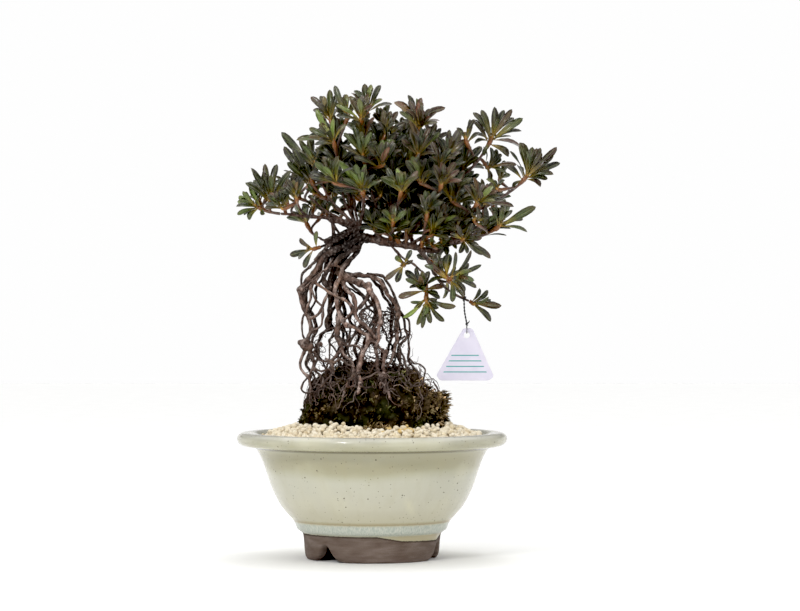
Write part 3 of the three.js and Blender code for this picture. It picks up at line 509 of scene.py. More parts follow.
# %% Celadon glaze over brown stoneware
def celadon_stoneware():
    material, shader, mm, node = new_material("celadon glaze on stoneware", IOR=1.52, Specular_IOR_Level=0.4)
    height = node("SeparateXYZ", {0: mm}, out="Z")
    across = node("SeparateXYZ", {0: mm}, out="X")
    fine = node("TexNoise", {"Vector": mm, "Scale": 0.5, "Detail": 4})
    tone = node("Attribute", out="Color", attribute_name="tint")
    # the melt ran down the wall: streaks 10 mm wide and eight times as long
    flow = node("Mapping", {"Vector": mm, "Scale": (1, 1, 0.12)})
    run = node("TexNoise", {"Vector": flow, "Scale": 0.1, "Detail": 4})
    tone = node("Mix", {0: node("MapRange", {0: run, 1: 0.5, 2: 0.78, 4: 0.2}),
                              6: tone, 7: "#a8a07c"}, **BLEND)
    # painted shade: a thin dark line in the crease under the lip
    crease_shade = node("ValToRGB", {0: node("MapRange", {0: height, 1: 109, 2: 114})},
                  stops=[(0.1, 0.0), (0.35, 0.75), (0.6, 0.75), (0.85, 0.0)])
    tone = node("Mix", {0: crease_shade, 6: tone, 7: "#5f5b45"}, **BLEND)
    # iron specks: the cores of cells 8 mm and 3 mm apart, in drifts
    chance = node("MapRange", {0: node("TexNoise", {"Vector": mm, "Scale": 0.05}), 1: 0.36, 2: 0.5, 3: 0.2})
    for cell, core, weight in ((9, 0.1, 1.0), (4, 0.13, 1.0)):
        away = node("TexVoronoi", {"Vector": mm, "Scale": 1 / cell})
        speck = node("MapRange", {0: away, 1: core, 2: core * 0.55, 4: weight})
        seen = node("Math", {0: speck, 1: chance}, operation="MULTIPLY")
        tone = node("Mix", {0: seen, 6: tone, 7: "#3f3426"}, **BLEND)
    # the bead: pooled glaze, bluish white with fine upright crackle, under an ochre line
    edge = node("Math", {0: fine, 1: 1.4, 2: height}, operation="MULTIPLY_ADD")
    upright = node("Mapping", {"Vector": mm, "Scale": (1, 1, 0.08)})
    crackle = node("TexNoise", {"Vector": upright, "Scale": 0.8, "Detail": 3})
    pooled = node("ValToRGB", {0: crackle}, stops=[(0.36, "#a3ada6"), (0.5, "#b9c0b7"), (0.66, "#c9ccc2")])
    band = node("MapRange", {0: edge, 1: 26, 2: 42})
    ochre = node("ValToRGB", {0: band}, stops=[(0.72, 0.0), (0.82, 0.65), (1.0, 0.0)])
    bead = node("ValToRGB", {0: band}, stops=[(0.05, 0.0), (0.18, 0.85), (0.66, 0.85), (0.8, 0.0)])
    tone = node("Mix", {0: ochre, 6: tone, 7: "#94825a"}, **BLEND)
    tone = node("Mix", {0: bead, 6: tone, 7: pooled}, **BLEND)
    # bare clay with pale sand grains; on the right a lick of glaze ran 5 mm down over it
    drawn = node("Mapping", {"Vector": mm, "Scale": (0.4, 0.4, 1.8)})
    clay = node("ValToRGB", {0: node("TexNoise", {"Vector": drawn, "Scale": 0.12, "Detail": 5})},
                stops=[(0.32, "#62534a"), (0.5, "#6e6057"), (0.68, "#7c6e66")])
    sand = node("MapRange", {0: node("TexVoronoi", {"Vector": mm, "Scale": 0.5}), 1: 0.14, 2: 0.06, 4: 0.35})
    clay = node("Mix", {0: sand, 6: clay, 7: "#998c80"}, **BLEND)
    lick = node("ValToRGB", {0: node("MapRange", {0: across, 2: 100})},
                stops=[(0.06, 0.0), (0.30, 0.75), (0.64, 1.0), (0.69, 0.0)])
    reach = node("Math", {0: lick, 1: 6.0, 2: edge}, operation="MULTIPLY_ADD")
    scorch = node("MapRange", {0: reach, 1: 25.0, 2: 26.8})
    clay = node("Mix", {0: scorch, 6: clay, 7: "#33271f"}, **BLEND)
    under = node("MapRange", {0: edge, 1: 27.8, 2: 26.6})
    thin = node("Math", {0: lick, 1: under}, operation="MULTIPLY")
    tone = node("Mix", {0: thin, 6: tone, 7: "#b3a98a"}, **BLEND)
    glazed = node("MapRange", {0: reach, 1: 26.8, 2: 27.4})
    feed(shader, Base_Color=node("Mix", {0: glazed, 6: clay, 7: tone}, **BLEND))
    # glassy where glazed, dull where bare; the glaze ripples over 10 mm and the clay is gritty
    gloss = node("MapRange", {0: fine, 1: 0.3, 2: 0.7, 3: 0.12, 4: 0.2})
    feed(shader, Roughness=node("Mix", {0: glazed, 2: 0.86, 3: gloss}))
    ripple = node("TexNoise", {"Vector": mm, "Scale": 0.09, "Detail": 3})
    grit = node("TexNoise", {"Vector": mm, "Scale": 1.4, "Detail": 5})
    relief = node("Mix", {0: glazed, 2: grit, 3: ripple})
    bump = node("Bump", {"Height": relief, "Distance": 0.5 * MM, "Strength": 0.6})
    feed(shader, Normal=bump)
    return material


dress(make_pot(), "glaze", celadon_stoneware(), "pot")

# %% [markdown]
# ## The net in the pot's floor
#
# A square of black plastic net keeps the soil from falling through the drain hole. The plain solid
# already has its shape, so it only gets a moulded polyethylene finish.

# %% Black polyethylene
def black_polyethylene():
    material, shader, mm, node = new_material("black moulded polyethylene", 0.42, IOR=1.51)
    cloud = node("TexNoise", {"Vector": mm, "Scale": 0.8})
    tone = node("ValToRGB", {0: cloud}, stops=[(0.3, "#101012"), (0.7, "#1f1f22")])
    feed(shader, Base_Color=tone)
    skin = node("TexNoise", {"Vector": mm, "Scale": 2.0, "Detail": 3})
    feed(shader, Normal=node("Bump", {"Height": skin, "Distance": 0.05 * MM, "Strength": 0.5}))
    return material


net_plastic = black_polyethylene()
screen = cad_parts["drain_screen"]
screen.data.materials.clear()
screen.data.materials.append(net_plastic)

# %% [markdown]
# ## The soil
#
# Kanuma is a soft cream pumice, sieved to grains of about 6 mm. The pot is filled with it to the lip,
# and it is heaped against the root ball. Grains all the way down would be wasted, so a plain bed carries
# the slope, and separate grains lie only on top.

# %% The heap of kanuma
MOUND_X, MOUND_HALF_WIDTH, MOUND_HALF_DEPTH = 1, 72, 62
MOUND_BASE, MOUND_RISE, SOCKET_FLOOR = 128, 62, 104
SOIL_EDGE_TOP, SOIL_CROWN, SOIL_REACH = 122, 134.5, 109.4


def mound_reach(x, y, margin=0.0):
    """How far out a spot lies on the root ball's footprint: 1 at its edge."""
    return np.hypot((x - MOUND_X) / (MOUND_HALF_WIDTH + margin), y / (MOUND_HALF_DEPTH + margin))


def soil_top(x, y):
    """The soil's height: it climbs as the way in from the pot's wall to the power 1.1."""
    away = np.hypot(x, y)
    inner = away / np.maximum(mound_reach(x, y), 1e-6)
    t = np.clip((SOIL_REACH - away) / np.maximum(SOIL_REACH - inner, 1), 0, 1)
    return SOIL_EDGE_TOP + (SOIL_CROWN - SOIL_EDGE_TOP) * t**1.1


def soil_bed(heap, tone):
    """The mass under the grains: the pot's inside, with a socket where the root ball stands. Its dark
    tone is painted shade, which shows in the gaps between the grains.
    """
    around = 96
    angle = np.arange(around) * 2 * math.pi / around
    c, s = np.cos(angle), np.sin(angle)
    rows = []
    for r, z in [(40, 34.6), (56, 34.6), (70.2, 42.8), (83.2, 54.8), (99.2, 86.8), (108.6, 114)]:
        rows.append(np.stack([r * c, r * s, np.full(around, z)], axis=1))
    edge = np.stack([MOUND_X + (MOUND_HALF_WIDTH + 0.6) * c, (MOUND_HALF_DEPTH + 0.6) * s], axis=1)
    rim = np.stack([SOIL_REACH * c, SOIL_REACH * s], axis=1)
    for t in np.linspace(0, 1, 14):
        flat = rim * (1 - t) + edge * t
        rows.append(np.column_stack([flat, soil_top(flat[:, 0], flat[:, 1]) - 2.6]))
    rows.append(np.column_stack([edge, np.full(around, SOCKET_FLOOR - 0.1)]))
    points = np.vstack(rows + [[[0, 0, 34.6]], [[MOUND_X, 0, SOCKET_FLOOR - 0.1]]])
    quads, tris = lathe_faces(len(rows), around)
    heap.add(points, quads, tris, np.zeros((len(points), 2)), tone)


# %% [markdown]
# A grain is a ball of only 80 faces, an icosahedron split once. Noise makes it uneven, and three
# draws change its proportions, so that no two grains are alike.

# %% One grain and many grains
def ball():
    """An icosahedron whose faces are split in four: 42 points on the unit ball and 80 faces."""
    g = (1 + 5**0.5) / 2
    points = [(a, b * g, 0) for a in (-1, 1) for b in (-1, 1)]
    points += [(0, a, b * g) for a in (-1, 1) for b in (-1, 1)]
    points += [(b * g, 0, a) for a in (-1, 1) for b in (-1, 1)]
    points = unit(np.array(points, float))
    near = np.linalg.norm(points[:, None] - points[None], axis=2) < 1.2
    faces = [(i, j, k) for i in range(12) for j in range(i + 1, 12) for k in range(j + 1, 12)
             if near[i, j] and near[j, k] and near[i, k]]
    points, middles, split = list(points), {}, []
    for face in faces:
        i, j, k = face
        if np.dot(np.cross(points[j] - points[i], points[k] - points[i]), points[i]) < 0:
            i, j, k = i, k, j
        mids = []
        for pair in ((i, j), (j, k), (k, i)):
            key = tuple(sorted(pair))
            if key not in middles:
                middles[key] = len(points)
                points.append(unit(points[pair[0]] + points[pair[1]]))
            mids.append(middles[key])
        a, b, c = mids
        split += [(i, a, c), (a, j, b), (c, b, k), (a, b, c)]
    return np.array(points), np.array(split)


def turned(seed, n):
    """n random rotation matrices, from quaternions of normalised draws."""
    k = np.arange(n)
    q = unit(jitter(k, seed, 4))
    w, x, y, z = q.T
    return np.stack([
        1 - 2 * (y * y + z * z), 2 * (x * y - z * w), 2 * (x * z + y * w),
        2 * (x * y + z * w), 1 - 2 * (x * x + z * z), 2 * (y * z - x * w),
        2 * (x * z - y * w), 2 * (y * z + x * w), 1 - 2 * (x * x + y * y)], axis=1).reshape(n, 3, 3)


def stones(heap, centres, sizes, tones, seed, rough=0.17):
    """A rounded, uneven stone at each centre."""
    unit_points, unit_faces = ball()
    n, m = len(centres), len(unit_points)
    k = np.arange(n)
    shape = np.stack([0.86 + 0.28 * draw(k, seed + 11 + j) for j in range(3)], axis=1)
    bodies = unit_points[None] * shape[:, None]
    probe = (unit_points[None] * 1.0 + k[:, None, None] * 7.31).reshape(-1, 3)
    bodies = bodies * (1 + rough * lumps(probe, 0.95, 2, seed).reshape(n, m, 1))
    bodies = np.einsum("nij,nmj->nmi", turned(seed, n), bodies) * sizes[:, None, None]
    points = (bodies + centres[:, None]).reshape(-1, 3)
    faces = (unit_faces[None] + (k * m)[:, None, None]).reshape(-1, 3)
    heap.add(points, [], faces, np.zeros((n * m, 2)), np.repeat(tones, m, axis=0))


# %% [markdown]
# Poured grains lie close but in no order. A hexagonal grid with some jitter gives that, and a second,
# sparser layer lies on the first. Most grains are cream, some are stained, and a few in front are
# yellow.

# %% Two layers of grains
def make_soil():
    """The bed and two layers of stones on a jittered hexagonal grid, each set down on the heap."""
    heap = Heap()
    # painted shade: a dark brown bed, which shows as shadow between the grains
    soil_bed(heap, linear("#4d3f2a"))
    for layer, (spacing, size, sink, seed) in enumerate([(5.7, 2.85, 1.2, 3), (9.0, 2.6, -1.2, 29)]):
        i, j = np.meshgrid(np.arange(-24, 25), np.arange(-28, 29), indexing="ij")
        x = (i + 0.5 * (j % 2)).ravel() * spacing
        y = j.ravel() * spacing * 0.866
        k = np.arange(len(x))
        x = x + (draw(k, seed) - 0.5) * spacing * 0.55
        y = y + (draw(k, seed + 1) - 0.5) * spacing * 0.55
        radius = size * (0.66 + 0.62 * draw(k, seed + 2) ** 1.2)
        keep = (np.hypot(x, y) < SOIL_REACH + 1.4 - radius) & (mound_reach(x, y, 1.4 + size * 0.6) > 1)
        x, y, radius, k = x[keep], y[keep], radius[keep], k[keep]
        z = soil_top(x, y) - sink + (draw(k, seed + 3) - 0.5) * 2.2
        dip = 5.0 * np.exp(-((x - 4) ** 2 + (y + 66) ** 2) / 90)
        bank = 3.5 * np.exp(-((x + 34) / 16) ** 2 - ((y + 60) / 10) ** 2)
        z = z - dip + bank  # a hollow in front of the root ball, and a low bank on its left
        shade = np.stack([draw(k, seed + 4), draw(k, seed + 5) ** 3, draw(k, seed + 6) ** 6], axis=1)
        shade = np.column_stack([shade, np.full(len(k), 0.55)])
        tones = mixed([linear("#f4eddc"), linear("#e0d1ae"), linear("#bfa678"), linear("#ebdfc6")], shade)
        yellow = (np.abs(x - 25) < 16) & (y < -58) & (y > -82) & (draw(k, seed + 7) < 0.5)
        tones[yellow] = tones[yellow] * 0.25 + linear("#d9b45c") * 0.75
        stones(heap, np.column_stack([x, y, z]), radius, tones, seed + 40, 0.13)
        print("layer", layer, "holds", len(k), "grains")
    return heap.piece("kanuma_grains")


# %% [markdown]
# Kanuma is a weathered pumice: dull, pitted and chalky, and stained where water stood in its pores.

# %% Kanuma pumice
def kanuma_pumice():
    material, shader, mm, node = new_material("kanuma pumice", 0.93, Specular_IOR_Level=0.3)
    tone = node("Attribute", out="Color", attribute_name="tint")
    mottle = node("TexNoise", {"Vector": mm, "Scale": 0.7, "Detail": 5})
    stained = node("MapRange", {0: mottle, 1: 0.52, 2: 0.75, 4: 0.45})
    chalky = node("MapRange", {0: mottle, 1: 0.42, 2: 0.25, 4: 0.5})
    tone = node("Mix", {0: stained, 6: tone, 7: "#cbb792"}, **BLEND)
    tone = node("Mix", {0: chalky, 6: tone, 7: "#f6efdf"}, **BLEND)
    feed(shader, Base_Color=tone)
    pits = node("TexVoronoi", {"Vector": mm, "Scale": 1.6})
    crumb = node("TexNoise", {"Vector": mm, "Scale": 1.1, "Detail": 5})
    height = node("Math", {0: pits, 1: crumb}, operation="ADD")
    feed(shader, Normal=node("Bump", {"Height": height, "Distance": 0.28 * MM, "Strength": 0.8}))
    return material


dress(make_soil(), "kanuma", kanuma_pumice(), "kanuma_soil")

# %% [markdown]
# ## The root ball
#
# The old ball of peat was once inside a smaller pot. It is steep-sided, nearly black, and grown over
# with moss: living green in the damp folds, dead and brown on the dry right shoulder. We make a lumpy
# dome and cover it with thousands of tiny shoots, each a three-sided spike only a few faces big.

# %% Peat and moss
PEAT, MOSS, MOSS_LIGHT, MOSS_DEAD, MOSS_OLIVE = (
    linear(h) for h in ("#211c17", "#4c5234", "#878c58", "#a48b6a", "#5a5242"))


def mound_point(angle, phi):
    """A point on the dome: half-axes shrink as sqrt(sin phi) while the height grows as cos phi."""
    rho = np.sqrt(np.clip(np.sin(phi), 0, 1))
    return np.stack([
        MOUND_X + MOUND_HALF_WIDTH * rho * np.cos(angle), MOUND_HALF_DEPTH * rho * np.sin(angle),
        MOUND_BASE + MOUND_RISE * np.cos(phi)], axis=-1)


def mound_normal(angle, phi):
    """Outward direction of the dome, from small steps either way along it."""
    step = 0.01
    low, high = np.clip(phi - step, 0.001, None), np.clip(phi + step, None, math.pi / 2)
    down = mound_point(angle, high) - mound_point(angle, low)
    around = mound_point(angle + step, phi) - mound_point(angle - step, phi)
    return unit(np.cross(down, around))


def mound_lift(points):
    """How far the peat bulges out of the plain dome, in mm."""
    shoulder = np.exp(-((points[:, 0] - 70) / 14) ** 2 - ((points[:, 2] - 158) / 10) ** 2)
    shoulder = shoulder * np.exp(-((points[:, 1] + 8) / 26) ** 2)
    sunk = 1.2 - 8 * np.exp(-((points[:, 0] + 6) / 24) ** 2 - ((points[:, 1] - 4) / 16) ** 2)
    sunk = sunk + 7 * np.exp(-((points[:, 0] - 62) / 12) ** 2) * smooth(points[:, 2], 158, 174)
    return 3.0 * lumps(points, 13, 3, 61) + 1.5 * lumps(points, 4.4, 2, 71) + 7 * shoulder - sunk


def moss_tone(points, seed, spread=0.6):
    """Peat and moss colours in drifts: green low down and in front, dead brown on the right shoulder."""
    drift = lumps(points, 15, 3, seed)
    spot = lumps(points, 5, 2, seed + 7)
    right = smooth(points[:, 0], 22, 62) * smooth(points[:, 2], 138, 158)
    weights = np.stack([
        0.7 + 1.2 * smooth(-spot, 0.1, 0.8), smooth(drift, -0.1, 0.7) * (1 - 0.7 * right),
        smooth(spot + drift, 0.4, 1.2) * (1 - right) * spread,
        1.6 * right * smooth(spot, -0.7, 0.5) + 0.5 * smooth(spot - drift, 0.5, 1.1),
        np.full(len(points), 0.3)], axis=1)
    return mixed([PEAT, MOSS, MOSS_LIGHT, MOSS_DEAD, MOSS_OLIVE], weights)


def make_root_ball():
    """The dome pushed out along its normals by mound_lift, with a skirt down into the soil."""
    around, rise = 190, 80
    angle, phi = np.meshgrid(np.arange(around) * 2 * math.pi / around,
                             np.linspace(math.pi / 2, 0.012, rise), indexing="xy")
    dome = mound_point(angle, phi).reshape(-1, 3)
    out = mound_normal(angle, phi).reshape(-1, 3)
    dome = dome + out * mound_lift(dome)[:, None]
    skirt = dome[:around] * [1, 1, 0]
    skirts = [skirt + [0, 0, z] for z in (SOCKET_FLOOR + 0.4, 112, 120)]
    points = np.vstack(skirts + [dome, [[MOUND_X, 0, SOCKET_FLOOR + 0.4]], [dome[-around:].mean(axis=0)]])
    quads, tris = lathe_faces(rise + 3, around)
    tint = moss_tone(points, 83) * (0.28 + 0.5 * smooth(lumps(points, 5, 2, 91), -0.6, 0.9))[:, None]
    heap = Heap()
    heap.add(points, quads, tris, np.zeros((len(points), 2)), tint)
    return heap.piece("mossy_peat")


# %% [markdown]
# A moss plant is a tuft of thin leaves. Five bent spikes fan out from each foot, dark below and light
# at their tips. A dead brown clump has slipped off the shoulder onto the soil in front.

# %% Sprigs of moss
def make_moss():
    """Sprigs of moss: five bent spikes fan out from each foot and share one tone."""
    sprigs, per = 1300, 5
    count = sprigs * per
    k = np.arange(count)
    sprig = k // per
    angle = draw(sprig, 5) * 2 * math.pi
    phi = np.arccos(np.clip(draw(sprig, 6) ** 1.1, 0, 0.97))
    foot = mound_point(angle, phi)
    out = mound_normal(angle, phi)
    foot = foot + out * (mound_lift(foot)[:, None] - 0.4)
    spill = sprig < 56  # a dead brown clump has slipped onto the soil in front
    lying = np.column_stack([6 + 26 * (draw(sprig, 21) - 0.5), -63 - 8 * draw(sprig, 22), np.zeros(count)])
    lying[:, 2] = soil_top(lying[:, 0], lying[:, 1]) - 4 + 5 * draw(sprig, 23)
    foot = np.where(spill[:, None], lying, foot)
    out = np.where(spill[:, None], unit(np.array([0, -0.5, 0.85])), out)
    sway = jitter(k, 7)
    right = np.maximum(smooth(foot[:, 0], 30, 62), spill)[:, None]
    lean = unit(out + sway * 1.7 + [0, 0, 0.1] - right * [0, 0, 0.3])
    reach = (1.6 + 3.0 * draw(sprig, 12) ** 1.6 + 1.0 * draw(k, 16)) * (1 + 0.7 * right[:, 0])
    bend = unit(lean + sway[:, ::-1] * 1.4 - [0, 0, 0.35])
    knee = foot + lean * reach[:, None] * 0.55
    paths = np.stack([foot, knee, knee + bend * reach[:, None] * 0.45], axis=1)
    radii = np.stack([0.35 + 0.2 * draw(k, 13), 0.42 + 0.32 * draw(k, 14), np.full(count, 0.08)], axis=1)
    points, quads, tris, uv = carried_rings(paths, radii, 3)
    glow = (0.2 + 3.4 * draw(sprig, 15) ** 3.4 + 0.5 * draw(k, 17)) * (1 + 0.7 * right[:, 0])
    grown = moss_tone(foot, 83, 1.0) * (1 - 0.8 * spill)[:, None]
    tones = (grown + MOSS_DEAD * (0.35 * spill)[:, None]) * glow[:, None]
    tones = tones + linear("#8d7a4c") * (0.8 * draw(sprig, 18) ** 5)[:, None]  # a few dry to straw
    each = 3 * 3 + 2  # points in a spike: three rings of three, and its two ends
    tint = np.repeat(tones, each, axis=0).reshape(count, each, 3)
    level = np.array([0.25] * 3 + [0.9] * 3 + [1.7] * 3 + [0.25, 1.7])[None, :, None]
    heap = Heap()
    heap.add(points, quads, tris, uv, (tint * level).reshape(-1, 3))
    return heap.piece("moss_sprigs")


# %% [markdown]
# Peat is dull and crumbly, and nearly black where it is damp. Moss takes the same finish with a finer
# crumb, because its colours are already at its points.

# %% Damp peat and cushion moss
def peat_and_moss(name, depth):
    material, shader, mm, node = new_material(name, 0.95, Specular_IOR_Level=0.15)
    tone = node("Attribute", out="Color", attribute_name="tint")
    crumb = node("TexNoise", {"Vector": mm, "Scale": 0.6, "Detail": 6, "Roughness": 0.7})
    damp = node("MapRange", {0: crumb, 1: 0.52, 2: 0.3, 4: 0.8})
    tone = node("Mix", {0: damp, 6: tone, 7: "#0f0c08"}, **BLEND)
    feed(shader, Base_Color=tone)
    feed(shader, Normal=node("Bump", {"Height": crumb, "Distance": depth * MM}))
    return material


dress(make_root_ball(), "peat", peat_and_moss("damp peat", 1.6), "root_ball")
dress(make_moss(), "peat", peat_and_moss("cushion moss", 0.3))

# %% [markdown]
# ## The wood
#
# An exposed-root azalea is grown in a deep tube of soil that is taken away bit by bit, so roots that
# once were underground now stand in the air like legs. They have thickened, kinked and grown into
# each other. We lay out every root as a path with a thickness at each end, one to a row of text. The
# numbers are millimetres: x to the right, y away from the front, z up.

# %% The roots as paths
def table(text):
    """Rows of text, each some words, a colon and points split by commas; a row may run on, indented."""
    rows = []
    for line in text.replace("\n ", " ").strip().splitlines():
        words, points = line.split(":")
        points = [tuple(float(n) for n in point.split()) for point in points.split(",") if point.strip()]
        rows.append((words.split(), points))
    return rows


def strands(text):
    """Roots from rows of: the radius at each end, how pale the bark is and how much painted shade it
    takes, and the points x y z.
    """
    return [((float(a), float(b)), path, float(shade)) for (a, b, shade), path in table(text)]


TRUNK = ((7.6, 7.6), [(-35, 2, 289), (-31, 1, 301), (-24, 1, 313), (-14, 0, 323)])
BURLS = [  # swellings of the wood: x, y, z and radius
    (-16, -2, 321, 6.5), (-41, -9, 318, 3.2), (-46, -10, 316, 2.4), (-36, -8, 321, 3.0), (-29, -6, 323, 3.4),
    (-16, -5, 307, 3.6), (-66, -18, 214, 5.8), (-71, -17, 216, 3), (-61, -20, 212, 4.2), (-64, -22, 217, 3),
    (-57, -19, 227, 3.0), (-51, -20, 214, 2.6), (-3, -21, 273, 3.4), (-34, -19, 225, 3.2),
    (-28, -21, 238, 2.4)]
ROOTS = strands("""
3.9 2.1 0.8: -27 -7 312, -37 -11 308, -44 -12 304, -50 -13 298, -54 -13 291, -58 -13 285, -64 -13 278,
  -69 -14 271, -70 -15 258, -66 -16 247, -62 -17 238, -60 -17 230, -63 -18 221, -66 -18 211
2.1 1.7 0.5: -14 -5 330, -24 -8 325, -32 -11 319, -40 -12 314, -47 -13 309, -52.5 -14 303, -57 -15 297
1.6 1.1 0.3: -54 -14 301, -58 -15 294, -64 -16 288, -69.5 -16 285, -71 -15 277, -70 -14 266
1.8 1.4 0.75: -51 -17 284, -56 -20 277, -60 -22 270, -61 -23 260, -64 -22 250, -66 -18 242
1.4 1.2 1.15: -38 -9 300, -42 -15 295, -45 -17 289, -49 -17 285, -55 -17 281, -61 -17 276, -67 -15 270
1.2 1 0.9: -61 -23 271, -54 -26 259, -48 -29 249, -48.5 -29 240, -51 -27 232, -59 -19 227
1.9 1.6 0.95: -41 -12 272, -45 -16 260, -50 -20 249, -55 -20 243, -63 -17 238
2.8 2.4 0.3: -38 -2 290, -42 -5 276, -41 -6 262, -42 -7 252, -43 -8 243, -45 -10 234, -42 -12 227
2.6 2 0.25: -32 -2 292, -31 -4 280, -32 -7 270, -30 -9 260, -33 -8 248
1.4 1.2 0.35: -42 -11 228, -49 -14 226, -53 -17 219, -55 -19 210, -57 -20 201
1.1 0.9 0.4: -44 -11 231, -37 -15 231, -30 -18 236
1.1 0.9 0.4: -37 -17 228, -41 -19 219, -42 -22 209, -41 -26 200, -45 -31 188, -44 -33 170
2.3 2.2 1.3: -24 -9 298, -28 -13 290, -31 -15 283, -34 -16 276, -37 -17 268, -36 -17 260, -34 -18 250,
  -31 -20 241
2.2 1.4 1.35: -31 -20 242, -26 -22 234, -17 -25 230, -8 -27 225, 1 -29 219, 8 -31 212, 13 -32 204
2.4 1.5 1.25: 15 -29 209, 13 -32 200, 12 -34 192, 12 -37 183, 15 -40 172, 19 -46 158
2.5 1.8 1.05: -32 -6 282, -26 -13 270, -19 -19 262, -16 -22 254, -17 -24 246, -14 -26 239, -7 -28 233,
  -1 -30 227, 4 -31 220
1.7 1.3 1.1: -60 -18 277, -52 -20 273, -43 -24 266, -33 -27 261, -25 -27 256, -19 -27 250, -23 -25 242,
  -30 -21 236
4 4.1 1.15: -34 -3 287, -27 -8 282, -19 -14 278, -10 -19 274
2.9 1.7 1.4: -12 -17 276, -4 -21 271, 1.5 -25 263, 5 -27 255, 8 -29 247, 8 -31 238, 6 -32 229, 7 -32 220,
  4 -32 211
2.8 1.7 0.55: -9 -17 273, -3 -19 268, -4 -19 262, -8 -20 255, -13 -21 249
2.6 2 0.85: -32 0 287, -22 -5 283, -12 -7 282, 0 -8 281, 8 -10 276, 12.5 -10 270, 15.5 -11 263, 21.5 -12 256,
  26.5 -13 249
2.9 1.4 0.9: 25 -12 252, 26 -13 244, 24 -14 236, 24 -15 228, 25 -16 220, 23 -18 212, 20 -21 202, 14 -26 190
1.6 1.3 0.75: -2 -6 284, 10 0 281, 16 4 275, 20 5 267, 23.5 3 259, 27 -2 251
1.4 1.2 0.55: 27 -4 247, 32 -5 239, 34 -6 229, 34 -7 222, 29 -9 216, 26 -12 209, 29 -18 200, 27 -24 186,
  29 -30 168
1.3 1.1 0.65: 27 -2 248, 32 2 242, 37 2 238, 38 1 229, 36 -2 219, 38 -4 209, 36 -6 200, 41 -9 193,
  46 -12 186, 52 -16 168
1 0.8 0.65: 37 -6 200, 43 -10 195, 49 -13 194, 53.5 -15 189, 53 -17 182, 50 -18 170
1.1 0.9 0.5: 33 -8 222, 27 -14 217, 29 -18 208, 33 -21 199, 35 -24 188, 39 -27 170
2.6 2.2 1.2: -2 -27 225, -4 -28 216, -7 -30 206, -11 -33 196, -13 -35 186, -11 -39 176, -14 -44 164
1.4 1.2 0.8: -9 -27 213, -12 -30 201, -15 -33 190, -16 -37 178, -10 -41 168
2.4 1.5 0.75: 3 -32 213, 6 -33 203, 5 -35 192, 9 -39 180, 8 -43 168
3 2 0.75: -34 -15 242, -33 -18 235, -34 -19 229, -35 -19 222, -32 -21 215, -29 -22 209, -34 -25 203,
  -39 -28 197, -38 -32 184
1.4 1.1 1: -31 -21 217, -25 -25 213, -17 -28 213, -11 -29 208, -8 -30 199
1.6 1.3 1.3: -31 -22 210, -27 -27 203, -21 -31 198, -18 -33 190, -20 -36 181, -24 -41 174, -28 -46 167,
  -29 -50 156
1.3 1.1 1.1: -46 -26 200, -38 -30 197, -30 -32 199, -24 -34 195, -17 -37 192
1.3 1 0.7: -58 -22 207, -51 -27 199, -44 -30 197, -38 -32 190, -42 -36 181, -50 -38 172
1.2 1 0.7: -57 -26 191, -50 -30 188, -43 -33 190, -37 -36 185
1.9 1.4 0.7: -66 -18 211, -68 -20 202, -71 -22 194, -68 -24 186, -63 -26 181, -61 -27 173, -60 -29 156
2.1 1.6 0.8: -63 -18 212, -60 -18 202, -57 -18 194, -60 -20 186, -62 -22 178, -57 -23 162
1.3 1 0.5: -53 -21 214, -53 -23 205, -55 -25 197, -57 -26 190, -51 -31 183, -48 -35 170
1.1 0.9 0.6: -63 -26 183, -67 -26 176, -69 -27 170, -65 -28 166, -57 -31 168
1.6 1.3 0.3: -26 -4 279, -16 -10 269, -8 -14 262, -2 -16 257, 3 -16 249, 2 -18 239, -3 -20 229, 0 -22 214
1.2 1 0.5: -4 -15 263, -8 -18 256, -13 -20 251, -16 -23 243
2 1.6 0.3: -30 4 282, -26 8 264, -19 6 249, -22 2 237, -13 4 224, -17 0 210, -8 -4 184
1.8 1.5 0.3: -34 6 280, -30 13 260, -35 17 240, -28 14 222, -34 12 206, -31 8 184
1.1 1 0.6: -65 -16 247, -69 -15 239, -70 -15 229, -68 -16 221, -64 -17 215
1.5 1.1 0.45: -10 -10 236, -16 -13 226, -20 -15 219, -24 -18 208, -20 -22 194
""")
BACK_ROOTS = [0, 3, 7, 12, 14, 15, 18, 20, 21, 22, 23, 27, 36]  # rows repeated on the cage's far side

# %% [markdown]
# The trunk is short and thick. Roots have grown onto it and run down it as ridges, and a fan of dark
# stems spreads from its top into the left of the crown.

# %% Strands of the trunk, and the fan
TRUNK_STRANDS = strands("""
2.6 2.6 0.25: -46 -9 316, -38 -8 320, -30 -7 324, -20 -4 329
2.8 2.2 0.22: -44 -4 296, -46 -8 286, -48 -12 278, -44 -14 270, -40 -12 262
2.7 2.5 0.85: -15 -8 311, -19 -11 308, -25 -13 305, -31 -14 300, -37 -14 294
3.2 2.6 0.3: -6 -3 321, -12 -4 314, -15 -5 308, -18 -5 302, -23 -6 296, -28 -5 289
2.1 1.8 1: -20 -9 301, -25 -11 297, -29 -11 292
1.7 1.4 0.9: -42 -11 294, -36 -14 293, -30 -12 291
3 2.4 0.35: -6 -6 323, -15 -9 318, -22 -10 312, -27 -8 306
2.2 2.2 0.25: -18 -6 320, -28 -9 313, -36 -9 304, -40 -9 296, -42 -8 286
3 2.4 0.4: -14 2 328, -28 4 322, -38 5 312, -44 5 301, -47 4 288
3.4 2.8 0.4: -10 6 326, -18 10 314, -28 12 304, -36 12 292, -38 10 278
1.6 1.2 0.35: -32 -6 324, -37 -8 330, -41 -8 336, -49 -8 343
2 1.8 0.3: -38 -6 319, -38 -8 327, -39 -8 338
""")
FAN = strands("""
1.9 1.2 0.4: -17 -2 331, -34 -7 341, -52 -9 351, -64 -8 362
1.8 1.2 0.45: -16 -3 332, -30 -7 346, -42 -9 359, -50 -8 374
1.6 1.1 0.4: -15 -4 333, -24 -8 349, -30 -10 368
1.5 1.1 0.5: -14 -5 332, -17 -10 350, -21 -10 374
""")

